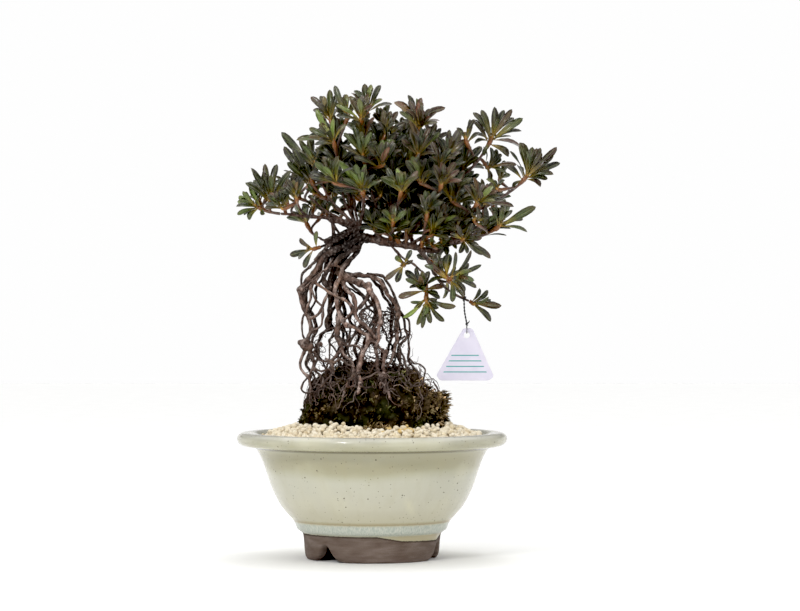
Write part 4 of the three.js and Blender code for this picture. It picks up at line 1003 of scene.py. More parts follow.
# %% [markdown]
# Limbs leave the top of the trunk and the main limb, which runs out to the right over the arch. Each is
# named after the spray of leaves that it carries, and the main limb's own spray is right_inner.

# %% The limbs
LIMBS = {name: ((float(a), float(b)), path) for (name, a, b), path in table("""
left_tip 2.3 1.5: -18 -1 331, -44 -8 339.5, -70 -12 342, -91 -13 344
left_mid 1.4 1.2: -62 -11 340, -69 -18 345, -72 -23 350
left_low 1.6 1.3: -32 -2 312, -45 -8 313, -51 -10 311
left_up 2 1.5: -17 1 331, -34 6 350, -47 8 360
crown_left 2.2 1.6: -17 1 331, -23 1 361, -28 0 377
front_left 2.1 1.8: -13 -5 328, -9 -19 346, -8 -27 355
right_inner 5.8 2: -18 0 322, 8 0 317.5, 38 -1 312, 62 -2 307, 70 -6 311, 82 -12 317
crown_mid 2 1.5: 5 0 320, 4 0 350, -1 0 371
crown_right 2.3 1.5: 5 0 320, 22 -4 344, 32 -4 374
front_mid 1.5 1.2: 21 -4 342, 25 -24 350, 26 -34 354
upper_right 1.7 1.4: 27 -4 357, 46 2 371, 59 4 378
right 2.5 1.5: 33 0 316, 53 3 344, 68 5 362, 87 5 378
front_right 1.5 1.3: 56 3 347, 62 -18 356, 64 -29 361
right_tip 2.3 1.5: 40 0 315, 68 -2 329, 98 -4 344, 121 -5 356
right_front 1.5 1.2: 88 -4 340, 96 -20 345, 99 -29 348
right_mid 1.8 1.4: 73 -7 312, 90 -9 316, 103 -8 320
low_right_tip 2.4 1.3: 48 -1 313, 57 -6 295, 70 -10 274, 82 -12 264, 97 -14 257
low_right 1.4 1.2: 67 -9 278, 73 -18 276, 75 -23 276
low 1.8 1.3: 14 -2 318, 29 -8 302, 42 -12 293, 49 -15 287
low_side 1.3 1.2: 26 -7 304, 29 -16 298, 30 -20 296
inner_left 1.5 1.2: 16 -1 318, 20 -14 325, 21 -21 328
inner_right 1.5 1.2: 47 -1 312, 51 -15 321, 52 -23 327
back_left 2.6 1.5: -20 3 329, -42 28 342, -58 50 354
back 2.4 1.5: -12 3 326, 2 34 342, 6 58 352
back_right 2.3 1.5: 24 2 318, 48 34 332, 64 56 344
far_right 2.2 1.5: 54 0 310, 84 22 318, 106 36 326
back_low 1.9 1.4: 42 2 313, 54 28 300, 64 46 291
back_top 2.1 1.5: 4 2 322, 16 24 358, 19 34 378
back_left_low 1.8 1.4: -30 4 316, -46 24 318, -56 38 322
""")}

# %% [markdown]
# A root swells at knots and wanders a little on its way, and where it would dip into the peat it lies
# along the surface instead. Behind the drawn roots there are copies of them, and some that wind freely
# through the cage, because one sees right through it.

# %% Kinks, knots and windings
def draped(path):
    """Brings a root that dips into the front or back of the dome out to its surface: y = depth there."""
    x, y, z = path.T
    high = np.clip((z - MOUND_BASE) / MOUND_RISE, 0, 1)
    spare = np.clip(np.sqrt(1 - high**2) - ((x - MOUND_X) / MOUND_HALF_WIDTH) ** 2, 0, 1)
    depth = MOUND_HALF_DEPTH * np.sqrt(spare)
    depth = depth + mound_lift(np.column_stack([x, np.sign(y) * depth, z])) * smooth(depth, 5, 30) + 0.6
    close = smooth(np.abs(y) / np.maximum(depth, 1), 0.5, 0.7) * (np.abs(y) < depth)
    dive = 4 * smooth(np.linspace(0, 1, len(path)), 0.92, 1) * (z[-1] < 176)
    return np.column_stack([x, y + np.sign(y) * ((depth - np.abs(y)) * close - dive * (close > 0)), z])


def gnarled(spec, seed, step, wander=0.8, knot=0.36):
    """A path with kinks, and radii with knots: lerp(r0, r1) times one plus noise and swellings."""
    (r0, r1), control = spec[:2]
    length = np.linalg.norm(np.diff(np.array(control, float), axis=0), axis=1).sum()
    stations = max(6, int(length / step))
    path = smooth_path(control, stations)
    t = np.linspace(0, 1, stations)
    hold = np.minimum(1, np.minimum(t, 1 - t) * 6)[:, None]
    probe = path + seed * 9.1
    kinks = np.stack([lumps(probe + 50 * j, 10.0, 2, seed) for j in range(3)], axis=1)
    path = draped(path + kinks * hold * wander)
    radius = (r0 + (r1 - r0) * t) * 0.92
    radius = radius * (1 + 0.16 * lumps(probe + 200, 5.0, 2, seed + 3))
    for j in range(int(length / 24)):
        middle = draw(j, seed + 17)
        reach = (1.4 + 1.6 * draw(j, seed + 18)) / length
        radius = radius * (1 + knot * (0.5 + draw(j, seed + 19)) * np.exp(-((t - middle) / reach) ** 2))
    return path, radius


def behind(point):
    """The far side of the cage: the same growth turned round the trunk and a little narrower."""
    x, y, z = point
    return (-30 + (x + 30) * 0.9, 3 - y * 1.25, z)


def winding_roots(count=7):
    """Roots which wander through the cage: a line from trunk to peat plus broad noise."""
    specs = []
    for k in range(count):
        d = [float(draw(k, 300 + j)) for j in range(9)]
        top = np.array([-36 + 30 * (d[0] - 0.45), 6 + 22 * (d[1] - 0.4), 262 + 24 * d[2]])
        foot = np.array([-56 + 96 * d[3], -10 + 44 * d[4], 166 + 16 * d[5]])
        t = np.linspace(0, 1, 9)[:, None]
        line = top * (1 - t) + foot * t
        line[:, :2] += (foot - top)[:2] * (0.22 * np.sin(math.pi * t))
        sway = np.stack([lumps(line + k * 17, 26, 2, 320 + j) for j in range(3)], axis=1)
        line = line + sway * np.sin(math.pi * t) ** 0.5 * [16, 13, 7]
        specs.append(((0.9 + 0.9 * d[6] ** 2, 0.8 + 0.5 * d[7]), [tuple(p) for p in line], 0.35 + 0.4 * d[8]))
    return specs


# %% [markdown]
# Stout roots are joined as a sculptor would join rolls of clay: all of them are merged into one skin,
# which is then softened so that every fork gets a fillet. Blender's Remesh modifier does the merging.

# %% One skin round the stout ones
def neighbour_mean(points, edges):
    """The mean of the points which share an edge with each point."""
    n = len(points)
    degree = np.bincount(edges.ravel(), minlength=n)[:, None]
    total = np.stack([np.bincount(edges[:, 0], points[edges[:, 1], j], n)
                      + np.bincount(edges[:, 1], points[edges[:, 0], j], n) for j in range(3)], axis=1)
    return total / degree


def softened(points, edges, rounds):
    """Moves each point towards the mean of its neighbours, then a little back, to round off steps."""
    for weight in (0.6, -0.45) * rounds:
        points = points + (neighbour_mean(points, edges) - points) * weight
    return points


def hollows(points, edges, out):
    """How sunken each point is: the height in mm of a well smoothed copy of the skin above it."""
    blurred = points
    for _ in range(9):
        blurred = neighbour_mean(blurred, edges)
    return np.sum((blurred - points) * out, axis=1)


def merged_skin(heap, voxel_mm):
    """One closed skin round everything in the heap: points in mm, quads and their edges."""
    rough = heap.piece("rough_wood")
    fuse = rough.modifiers.new("merge", "REMESH")
    fuse.mode = "VOXEL"
    fuse.voxel_size = voxel_mm * MM
    seen = rough.evaluated_get(bpy.context.evaluated_depsgraph_get())
    mesh = bpy.data.meshes.new_from_object(seen)
    points = np.empty(len(mesh.vertices) * 3, np.float32)
    mesh.vertices.foreach_get("co", points)
    quads = np.empty(len(mesh.loops), np.int32)
    mesh.loops.foreach_get("vertex_index", quads)
    edges = np.empty(len(mesh.edges) * 2, np.int32)
    mesh.edges.foreach_get("vertices", edges)
    bpy.data.meshes.remove(mesh)
    old = rough.data
    bpy.data.objects.remove(rough)
    bpy.data.meshes.remove(old)
    points = (points.reshape(-1, 3).astype(float) - POT_AXIS) / MM
    edges, quads = edges.reshape(-1, 2), quads.reshape(-1, 4)
    points = softened(points, edges, 2)
    return points, quads, hollows(points, edges, point_normals(points, quads))


def point_normals(points, quads):
    """The mean of the surrounding faces' normals at each point."""
    faces = np.cross(points[quads[:, 2]] - points[quads[:, 0]], points[quads[:, 3]] - points[quads[:, 1]])
    total = np.stack([np.bincount(quads.ravel(), np.repeat(faces[:, j], 4), len(points))
                      for j in range(3)], axis=1)
    return unit(total)


# %% [markdown]
# Bark is redder towards the twigs. Light and shade are painted into its colour: it is paler on top and
# to the left, darker underneath and in its folds, and darker inside the cage, where little light
# reaches. All of it is worked out at the points of the skin.

# %% Tones of the bark
# the pale and dark tones are also painted light and shade on the skin
BARK, BARK_PALE_AND_LIT, BARK_DARK_AND_SHADED, BARK_OCHRE, TWIG, TWIG_GREY = (
    linear(h) for h in ("#6d574d", "#b9a89f", "#241b18", "#786047", "#6a4232", "#6f5f58"))


def bark_tone(points, out, limbness):
    """Mauve-brown bark, ochre on knots and redder towards the twigs; painted light makes it paler on top
    and to the left, and painted shade makes it darker underneath.
    """
    drift = lumps(points, 16, 3, 141)
    spot = lumps(points, 4.5, 2, 151)
    up = out[:, 2]
    weights = np.stack([
        np.full(len(points), 0.9),
        0.9 * smooth(spot + 1.1 * up - 0.3 * out[:, 0], 0.1, 1.3) * (1 - 0.6 * limbness),
        0.9 * smooth(-drift - 0.7 * up, 0.1, 0.9) + 0.2, 0.4 * smooth(drift - spot * 0.5, 0.35, 0.9),
        0.7 * limbness, 0.55 * limbness * smooth(drift, -0.2, 0.6)], axis=1)
    return mixed([BARK, BARK_PALE_AND_LIT, BARK_DARK_AND_SHADED, BARK_OCHRE, TWIG, TWIG_GREY], weights)


def cage_shade(points, out):
    """How much light reaches the bark: less inside the cage, in the trunk's folds and under the crown."""
    radial = unit((points - [-12, 0, 0]) * [1 / 60**2, 1 / 42**2, 0])
    inward = smooth(-np.sum(radial * out, axis=1), -0.3, 0.7) * (1 - smooth(points[:, 2], 275, 295))
    trunk = np.exp(-(((points[:, 0] + 24) / 26) ** 2 + ((points[:, 2] - 312) / 22) ** 2) ** 2)
    speck = smooth(lumps(points * [1, 1, 0.6], 2.6, 2, 161), -0.6, 0.6)
    return (1 - 0.66 * inward) * (1 - 0.84 * trunk) * (0.56 + 0.78 * speck)


def nearest_shade(points, marks, shades):
    """The shade of the path whose marked spot is nearest to each point."""
    best, chosen = np.full(len(points), 1e9), np.ones(len(points))
    for spots, shade in zip(marks, shades):
        box = np.all((points > spots.min(axis=0) - 7) & (points < spots.max(axis=0) + 7), axis=1)
        away = np.full(len(points), 1e9)
        away[box] = np.min(np.linalg.norm(points[box][:, None] - spots[None], axis=2), axis=1)
        chosen = np.where(away < best, shade, chosen)
        best = np.minimum(best, away)
    return chosen


# %% [markdown]
# Each path is thickened. A stout one goes into the skin, and a thin one, which would be lost in it,
# stays a clean tube that starts inside it. Fine ridges along the grain finish the skin.

# %% Grow the wood
STOUT = 1.7  # mm of radius; thinner paths would be lost in the merged skin
VOXEL = 0.9  # mm; the size of the cubes that the merge works in


def make_wood():
    """Merges the stout paths into one skin and keeps the thin ones as tubes. A point's colour is the
    bark's tone times the shade of its path and of its place in the cage."""
    stout, thin, marks, shades = Heap(), Heap(), [], []
    # painted shade: the copies on the cage's far side are darker
    back = [((r0 * 0.85, r1 * 0.85), [behind(p) for p in path], 0.75 * shade)
            for (r0, r1), path, shade in (ROOTS[k] for k in BACK_ROOTS)]
    # painted shade: the core is nearly black, in the gaps between the strands round it
    core = (*TRUNK, 0.12)  # the strands round it make up the trunk's full girth
    paths = [(core, 1, 1.2)] + [(spec, 11 + k, 1.1) for k, spec in enumerate(ROOTS)]
    paths += [(spec, 51 + k, 1.8) for k, spec in enumerate(back)]
    paths += [(spec, 131 + k, 1.8) for k, spec in enumerate(winding_roots())]
    paths += [(spec, 171 + k, 0.8) for k, spec in enumerate(TRUNK_STRANDS + FAN)]
    # painted shade: the limbs on the left lie in the crown's shadow
    paths += [((*spec, 0.42 if spec[1][-1][0] < 0 else 0.62), 71 + k, 0.45)  # painted shade on the left
              for k, spec in enumerate(LIMBS.values())]
    for spec, seed, wander in paths:
        wide = max(spec[0]) >= STOUT
        path, radius = gnarled(spec, seed, 1.1 if wide else 1.3, wander)
        sides = 14 if wide else 8
        points, quads, tris, uv = carried_rings(path[None], radius[None], sides)
        if wide:
            stout.add(points, quads, tris, uv, BARK)
            marks.append(path[::3])
            shades.append(spec[2])
            continue
        middle = np.vstack([np.repeat(path, sides, axis=0), path[:1], path[-1:]])
        out = unit(points - middle)
        points = points + out * (0.16 * lumps(points, 3.2, 2, 9))[:, None]
        shade = spec[2] * cage_shade(points, out)
        tint = bark_tone(points, out, smooth(points[:, 2], 300, 332)) * shade[:, None]
        thin.add(points, quads, tris, uv, tint)
    unit_points, unit_faces = ball()
    for k, (x, y, z, r) in enumerate(BURLS):
        body = unit_points * [r, 0.9 * r, 1.12 * r] * (1 + 0.16 * lumps(unit_points + k, 0.8, 2, k))[:, None]
        stout.add(body + [x, y, z], [], unit_faces, np.zeros((len(body), 2)), BARK)
    points, quads, sunken = merged_skin(stout, VOXEL)
    out = point_normals(points, quads)
    girth = smooth(points[:, 2], 262, 300) * (1 - smooth(points[:, 2], 330, 345))
    ridges = lumps(points * [1, 1, 0.3], 4.2, 2, 211)
    points = points + out * (0.2 * lumps(points, 6.5, 2, 201) + 0.3 * ridges * (0.3 + girth))[:, None]
    shade = nearest_shade(points, marks, shades) * cage_shade(points, out)
    # painted shade in the skin's hollows and painted light on its ridges
    shade = shade * (1 - 0.85 * smooth(sunken, 0.0, 0.5)) * (1 + 0.5 * smooth(-sunken, 0.1, 0.8))
    skin = Heap()
    skin.add(points, quads, np.zeros((0, 3), int), np.zeros((len(points), 2)),
             bark_tone(points, out, smooth(points[:, 2], 300, 332)) * shade[:, None])
    return skin.piece("gnarled_wood"), thin.piece("slender_roots")


# %% [markdown]
# Azalea bark is thin and papery, with fine flakes along the stem. At this size the flakes are a bump,
# not a shape: noise at three sizes, and a net of fine cracks.

# %% Bark
def azalea_bark(name, depth=0.22):
    material, shader, mm, node = new_material(name, 0.8, Specular_IOR_Level=0.3)
    tone = node("Attribute", out="Color", attribute_name="tint")
    lengthwise = node("Mapping", {"Vector": mm, "Scale": (1, 1, 0.35)})
    grain = node("TexNoise", {"Vector": lengthwise, "Scale": 0.9, "Detail": 6, "Roughness": 0.65})
    flake = node("TexNoise", {"Vector": mm, "Scale": 0.38, "Detail": 5})
    papery = node("MapRange", {0: flake, 1: 0.5, 2: 0.66, 4: 0.34})
    # painted shade: the grain's furrows, which are low in the bump, are darkened
    furrow_shade = node("MapRange", {0: grain, 1: 0.52, 2: 0.34, 4: 0.85})
    tone = node("Mix", {0: papery, 6: tone, 7: "#9d928c"}, **BLEND)
    tone = node("Mix", {0: furrow_shade, 6: tone, 7: "#1e1615"}, **BLEND)
    feed(shader, Base_Color=tone)
    cracks = node("TexVoronoi", {"Vector": lengthwise, "Scale": 0.55}, feature="DISTANCE_TO_EDGE")
    plates = node("MapRange", {0: cracks, 2: 0.1, 4: 0.4})
    height = node("Math", {0: grain, 1: plates}, operation="ADD")
    feed(shader, Normal=node("Bump", {"Height": height, "Distance": depth * MM, "Strength": 0.9}))
    return material


bark = azalea_bark("azalea bark")
skin, slender = make_wood()
dress(skin, "bark", bark, "wood")
dress(slender, "bark", bark)

# %% [markdown]
# Between the legs hangs a tangle of fine roots, thinner than a match, and more of them run down over
# the peat. Each is a walk: it starts on a leg, takes small steps down, and turns a little each step.

# %% Fine roots
def walked(starts, heading, seed, stations, step, turn, pull):
    """Paths of even steps whose heading drifts by noise and is pulled in a direction."""
    n = len(starts)
    k = np.arange(n)
    here, ahead, spots, curl = starts, unit(heading), [starts], 0.0
    for s in range(stations - 1):
        shake = jitter(k * 3.7 + s * 1.3, seed)
        curl = 0.72 * curl + shake * turn
        ahead = unit(ahead + curl + pull)
        here = here + ahead * step[:, None]
        spots.append(here)
    return np.stack(spots, axis=1)


def held_in(paths, centre, half):
    """Draws points that strayed out of an egg-shaped room back towards it."""
    away = (paths - np.array(centre, float)) / half
    reach = np.linalg.norm(away, axis=-1, keepdims=True)
    held = np.where(reach > 1, 1 + (reach - 1) * 0.12, reach)
    return centre + away / np.maximum(reach, 1e-6) * held * half


def over_peat(paths, clear):
    """Points that fell inside the dome are brought out to its surface."""
    flat = paths.reshape(-1, 3)
    reach = mound_reach(flat[:, 0], flat[:, 1])
    skin = MOUND_BASE + MOUND_RISE * np.sqrt(np.clip(1 - reach**4, 0, 1))
    lift = mound_lift(np.column_stack([flat[:, :2], skin]))
    inside = (reach < 1) & (flat[:, 2] < skin + lift + clear)
    flat = flat.copy()
    flat[inside, 2] = (skin + lift + clear)[inside]
    return flat.reshape(paths.shape)


# %% [markdown]
# A tangle hangs behind the arch, a mat fills the foot of the cage, wisps and whiskers stand round the
# legs, and creepers and threads run over the peat. Each kind keeps to a room of its own.

# %% Six kinds of fine root
FINE_ROOTS = {  # how many, seed, stations, step, turn, pull, radius, shade, and the room that holds them
    "tangle": (130, 401, 22, 1.5, 1.7, (0, 0, 0), 0.7, 0.6, (5, -15, 234), (21, 13, 19)),
    "mat": (170, 411, 22, 1.7, 1.2, (0, 0, -0.02), 0.75, 0.28, (-4, 2, 182), (44, 25, 25)),
    "wisps": (90, 421, 26, 1.6, 1.2, (0, 0, -0.04), 0.42, 0.7, (-10, -4, 200), (57, 40, 45)),
    "whiskers": (80, 431, 16, 1.1, 1.3, (0, 0, -0.03), 0.27, 0.7, (-12, -2, 200), (58, 43, 60)),
    "creepers": (90, 451, 24, 1.6, 0.8, (0, 0, -0.12), 0.8, 0.6, (1, 0, 150), (70, 60, 60)),
    "threads": (140, 461, 22, 1.7, 0.9, (0, -0.03, -0.2), 0.34, 1.0, (1, 0, 140), (71, 62, 70))}


def root_starts(name, k, seed, spots):
    """Where each fine root begins: on a leg, at a leg's foot, or anywhere on the peat."""
    if name == "threads":
        angle, phi = draw(k, seed + 1) * 2 * math.pi, np.arccos(0.45 + 0.55 * draw(k, seed + 2))
        return mound_point(angle, phi) + [0, 0, 4]
    x, z = spots[:, 0], spots[:, 2]
    near = {"tangle": (np.abs(x - 5) < 24) & (z > 215) & (z < 254), "mat": (np.abs(x + 4) < 50) & (z < 206),
            "wisps": z < 232, "whiskers": z < 230, "creepers": z < 184}[name]
    some = spots[near]
    return some[(draw(k, seed) * len(some)).astype(int)]


def make_fine_roots():
    """Walks of every kind, held in their room and over the peat, tapering to 0.4 of their start."""
    heap = Heap()
    legs = [smooth_path(control, 40) for _, control, _ in ROOTS]
    legs += [np.array([behind(p) for p in legs[k]]) for k in BACK_ROOTS]
    spots = np.vstack([draped(leg) for leg in legs])
    spots = spots[spots[:, 2] > 168]
    for name, (count, seed, stations, step, turn, pull, size, shade, centre, half) in FINE_ROOTS.items():
        k = np.arange(count)
        starts = root_starts(name, k, seed, spots)
        heading = unit((starts - [MOUND_X, 0, 0]) * [1, 1, 0]) * (0.2 if name == "tangle" else 0.8) - UP * 0.2
        heading = heading + jitter(k, seed + 3) * 1.8
        strides = step * (0.7 + 0.6 * draw(k, seed + 8))
        paths = walked(starts, heading, seed + 9, stations, strides, turn, pull)
        paths = over_peat(held_in(paths, centre, half), 0.9 if name == "threads" else 0.5)
        low = paths[:, :, 2] < 131
        paths[:, :, 2] = np.where(low, 131 + (paths[:, :, 2] - 131) * 0.1, paths[:, :, 2])
        fade = np.linspace(1, 0.4, stations)[None]
        radii = size * (0.65 + 0.9 * draw(k, seed + 12) ** 2)[:, None] * fade
        tone = mixed([BARK, BARK_PALE_AND_LIT, BARK_DARK_AND_SHADED, TWIG], np.stack(
            [np.full(count, 0.5), 0.9 * draw(k, seed + 13) ** 2, 1.1 * draw(k, seed + 14),
             0.5 * draw(k, seed + 15)], axis=1)) * (shade * (0.4 + 1.1 * draw(k, seed + 16)))[:, None]
        heap.add(*carried_rings(paths, radii, 4), np.repeat(tone, stations * 4 + 2, axis=0))
    return heap.piece("fine_roots")


dress(make_fine_roots(), "bark", azalea_bark("young root bark", 0.12))

# %% [markdown]
# ## The leaves
#
# Satsuki leaves stand in whorls round the ends of the shoots. A leaf is narrow, widest past its middle,
# folded along the midrib and bent back at its blunt tip; it tapers into a short stalk. New leaves stand
# up in the middle and old ones hang lower on the shoot. Each row of the table is one shoot's end: its
# spray, its place, and the length and number of its first leaves. After the colon come the tips, x and
# z, of the leaves that shape the silhouette; a third number makes such a leaf that much broader.

# %% Where the shoots end
SPRAYS = {}
for (name, *place), tips in table("""
left_tip -115 -14 352 22 7: -134 345, -124 340 1.6, -120 374, -106 344 1.4, -132 357 1.4
left_tip -99 -24 357 27 7: -121 387, -109 384, -104 393, -94 392, -82 387, -124 375
left_tip -106 14 362 25 6:
left_mid -74 -40 359 22 6: -78 376
left_mid -88 -34 348 20 6:
left_low -60 -16 309 19 5: -71 319, -55 326, -81 302, -68 291
left_up -62 2 379 22 6: -89 411, -79 409, -85 394
left_up -57 22 396 27 6: -90 427, -73 419, -62 421
left_up -40 -16 379 22 6:
crown_left -38 -22 417 25 8: -74 416, -62 428, -56 446, -24 431, -50 433
crown_left -42 8 441 24 7: -60 462, -44 468, -58 450, -48 461, -34 464
crown_left -24 2 444 14 6: -37 472, -29 458, -17 457, -36 446 1.5, -35 455 1.3
front_left -9 -48 366 26 8: -34 396, -36 385, 2 382, 10 375
crown_mid -9 -30 402 26 7: -28 422, -18 431, 21 417
crown_mid -5 8 450 24 7: -7 474, 9 473, 10 459, -16 469
crown_mid 15 -14 424 18 5: 12 447, 24 446, 32 434, 18 446
front_mid 29 -54 365 24 7: 15 388, 26 384, 46 384
crown_right 46 -34 402 28 7: 36 434, 51 427, 65 431
crown_right 43 6 434 26 7: 25 458 1.5, 37 463, 47 451, 71 452, 67 438, 57 446, 31 452 1.3
crown_right 60 34 422 22 6: 62 404, 70 410
upper_right 75 -10 400 25 7: 64 423, 78 427, 88 430, 66 414
upper_right 82 32 404 25 6:
right 120 -2 420 26 14: 103 446, 111 448, 123 450, 131 448, 139 448, 150 439, 148 429, 149 412 1.4,
  136 402 1.5, 101 423 1.3, 101 437, 140 441, 103 416 1.3, 112 403
right 93 -18 419 17 5: 97 437, 101 437, 85 429, 96 431
right 117 12 390 22 8: 136 385, 144 394, 130 404, 113 411, 125 409, 102 393 1.2, 117 378 1.3
front_right 69 -58 372 24 7:
right_tip 155 -10 382 31 11: 146 414 1.5, 163 409, 182 411, 187 394, 180 382, 135 392 1.2, 167 371 1.6,
  181 402, 140 371, 159 410
right_tip 128 22 380 18 6: 121 396, 133 398, 138 385
right_tip 124 -26 368 13 3: 131 377 1.4, 114 378 1.2
right_front 104 -52 354 23 7: 101 378, 119 373, 139 350
right_mid 127 -16 332 24 5: 120 346, 163 350, 154 327, 150 341, 130 347
right_mid 101 -32 337 15 5: 116 340, 110 333, 104 350, 95 350
right_mid 130 16 336 15 4: 122 351, 130 351, 137 347
right_inner 91 -38 318 23 6: 108 322, 116 299, 95 305, 78 324, 84 331
low_right_tip 101 -18 254 19 7: 107 269, 116 266, 128 252, 119 238 1.1, 122 257 0.7
low_right 79 -36 281 22 8: 99 306 0.8, 84 305 0.6, 107 294 0.8, 91 261, 103 271 1.1, 97 281, 81 257 1.2
low_right 73 -26 283 19 3: 77 303 1.8, 61 290 1.2, 56 276 1.3
low 54 -30 257 22 8: 31 242 0.9, 45 234 0.8, 54 241 1.3, 72 238, 82 250, 39 257 0.7, 49 231 0.8
low 52 -28 267 24 9: 27 261 1.2, 34 287 1.3, 34 279, 56 286 1.1, 70 271 1.4, 67 260
low_side 32 -34 293 13 5: 13 280, 25 276 1.2, 39 307, 25 302 1.2, 40 297 0.8
inner_left 21 -36 336 18 6: 8 338
inner_right 55 -38 345 23 7:
back_left -82 56 366 26 7:
back_left -62 78 378 25 6:
back_left -46 60 394 26 6:
back -8 90 366 26 7:
back 18 84 384 26 6:
back -22 62 392 25 6:
back_right 88 78 360 26 7:
back_right 62 90 372 25 6:
back_right 80 58 388 25 6:
far_right 131 52 337 18 4: 141 350, 126 354, 135 353, 120 352
far_right 114 66 352 24 6:
far_right 122 34 356 18 5: 120 370, 130 366
back_low 76 60 280 24 6:
back_low 58 72 300 24 6:
back_top 8 58 410 24 6:
back_top 32 60 424 22 6:
back_top 10 36 434 18 6:
back_left_low -68 50 338 22 6:
back_left_low -50 62 347 22 6:
"""):
    x, y, z, length, count = (float(n) for n in place)
    SPRAYS.setdefault(name, []).append((x, y, z, length, int(count), tips))
SHOOT_FORKS = [0, 0.3, 0.5]  # where the second and third shoot leave the first
CANOPY_HEART = np.array([20, 10, 320])


def shoot_path(start, along, target, stations=60):
    """A cubic Bezier which leaves start along a direction and comes up to its target from below."""
    reach = np.linalg.norm(target - start)
    inner = start + along * reach * 0.4
    outer = (target - UP * reach * 0.12) * 0.75 + start * 0.25
    t = np.linspace(0, 1, stations)[:, None]
    curve = (1 - t) ** 3 * start + 3 * t * (1 - t) ** 2 * inner + 3 * t**2 * (1 - t) * outer + t**3 * target
    return evenly(curve, stations)


def across_axis(axis):
    """Two unit vectors square to an axis."""
    first = unit(np.cross([-axis[1], axis[0], 0.2], axis))
    return first, np.cross(axis, first)


def fan_out(axis, turn, opening):
    """Directions that leave an axis by an opening angle, turned round it."""
    first, second = across_axis(axis)
    turn, opening = np.asarray(turn)[:, None], np.asarray(opening)[:, None]
    return axis * np.cos(opening) + (first * np.cos(turn) + second * np.sin(turn)) * np.sin(opening)


# %% [markdown]
# All leaves of a spray are shaped at once. A blade is a flattened tube: six points round each of its
# eight stations, five on the upper face and one under the midrib. Its half width is zero at the tip,
# greatest at three quarters, and a stalk's width at the base. The fold lifts the edges in proportion to the
# distance from the midrib; the bow and the recurve move the whole section.

# %% The leaf blade
LEAF_STATIONS = np.array([0, 0.12, 0.32, 0.52, 0.7, 0.85, 0.95, 1.0])
LEAF_ACROSS = np.array([-1, -0.5, 0, 0.5, 1, 0])
LEAF_FACE = np.array([0, 1, 1, 1, 0, -1])


def leaf_blades(heap, roots, ahead, ups, lengths, tones, seed, wide=0.28, fold=0.5, light=1.0):
    """Adds one closed blade per root, pointing ahead, with its upper face towards ups.

    At u along the leaf, the half width goes as u to the power 0.98 times (1 - u to the 4.4) to the 0.6.
    The fold lifts a point by its distance from the midrib to the power 1.25."""
    n = len(roots)
    k = np.arange(n)
    side = unit(np.cross(ahead, ups))
    up = np.cross(side, ahead)
    u = LEAF_STATIONS[None]
    swell = u**0.98 * np.clip(1 - u**4.4, 0, 1) ** 0.6 / 0.62
    half = ((0.4 * lengths + 15) * wide)[:, None] / 2 * (0.86 + 0.28 * draw(k, seed + 1))[:, None] * swell
    half = np.maximum(half, 0.42 * (1 - u) + 0.12)
    bow = 0.07 * lengths * (0.6 + 0.8 * draw(k, seed + 2))
    back = lengths * (0.02 + 0.13 * draw(k, seed + 3) ** 1.5)
    rise = bow[:, None] * np.sin(math.pi * np.clip(u / 1.1, 0, 1)) - back[:, None] * smooth(u, 0.55, 1.05)
    sway = (draw(k, seed + 4) - 0.5)[:, None] * lengths[:, None] * 0.12 * u**2
    centre = roots[:, None] + ahead[:, None] * (lengths[:, None] * u)[..., None]
    centre = centre + up[:, None] * rise[..., None] + side[:, None] * sway[..., None]
    twist = ((draw(k, seed + 5) - 0.5) * 0.9)[:, None] * u
    face_side = side[:, None] * np.cos(twist)[..., None] + up[:, None] * np.sin(twist)[..., None]
    face_up = np.cross(face_side, np.broadcast_to(ahead[:, None], face_side.shape))
    thick = 0.16 + 0.3 * np.clip(1 - u * 5, 0, 1)
    opening = 0.3 + 0.7 * smooth(u, 0.05, 0.4)
    open_fold = (fold * (0.35 + 0.9 * draw(k, seed + 6)))[:, None, None] * opening[..., None]
    lift = open_fold * np.abs(LEAF_ACROSS) ** 1.25 * half[..., None]
    wave = 0.05 * lengths[:, None, None] * (draw(k, seed + 7) - 0.2)[:, None, None]
    ripple = wave * np.sin(u * 9 + 3 * draw(k, seed + 8)[:, None])[..., None] * LEAF_ACROSS**3 * 0.5
    lift = lift + ripple + LEAF_FACE * thick[..., None]
    points = centre[:, :, None] + face_side[:, :, None] * (half[..., None] * LEAF_ACROSS)[..., None]
    points = points + face_up[:, :, None] * lift[..., None]
    m, sides = len(LEAF_STATIONS), 6
    points = np.concatenate([points.reshape(n, -1, 3), centre[:, :1] - ahead[:, None] * 0.2, centre[:, -1:]
                             + ahead[:, None] * 0.25], axis=1)
    quads, tris = lathe_faces(m, sides)
    per = m * sides + 2
    shift = (k * per)[:, None, None]
    along = np.concatenate([np.repeat(LEAF_STATIONS, sides), [0, 1]])
    over = np.concatenate([np.tile((LEAF_ACROSS + 1) / 2, m), [0.5, 0.5]])
    face = np.concatenate([np.tile(LEAF_FACE, m), [0, 0]])
    tint = leaf_tints(tones, along, over, face, seed) * light
    heap.add(points.reshape(-1, 3), (quads + shift).reshape(-1, 4), (tris + shift).reshape(-1, 3),
             np.tile(np.stack([over, along], axis=1), (n, 1)), tint.reshape(-1, 3),
             blade=np.tile(0.5 + 0.5 * face, n))


# %% [markdown]
# Colour runs along a blade: gold at its base, its own tone in the middle, bronze at rim and tip, pale
# beneath. Each shoot has a mood, such as bronze, fresh or dark, and each leaf takes mostly one tone
# of it.

# %% Tones of the leaves
GREEN_DARK, GREEN_GREY, GREEN_MID, GREEN_BRIGHT, BRONZE, PLUM, GOLD, STALK, UNDER, RUST = (
    linear(h) for h in ("#22241a", "#464c45", "#586434", "#7d9446", "#7c4b3c", "#5b3b40", "#dcbd42",
                        "#bb7e3a", "#77805f", "#8f5634"))


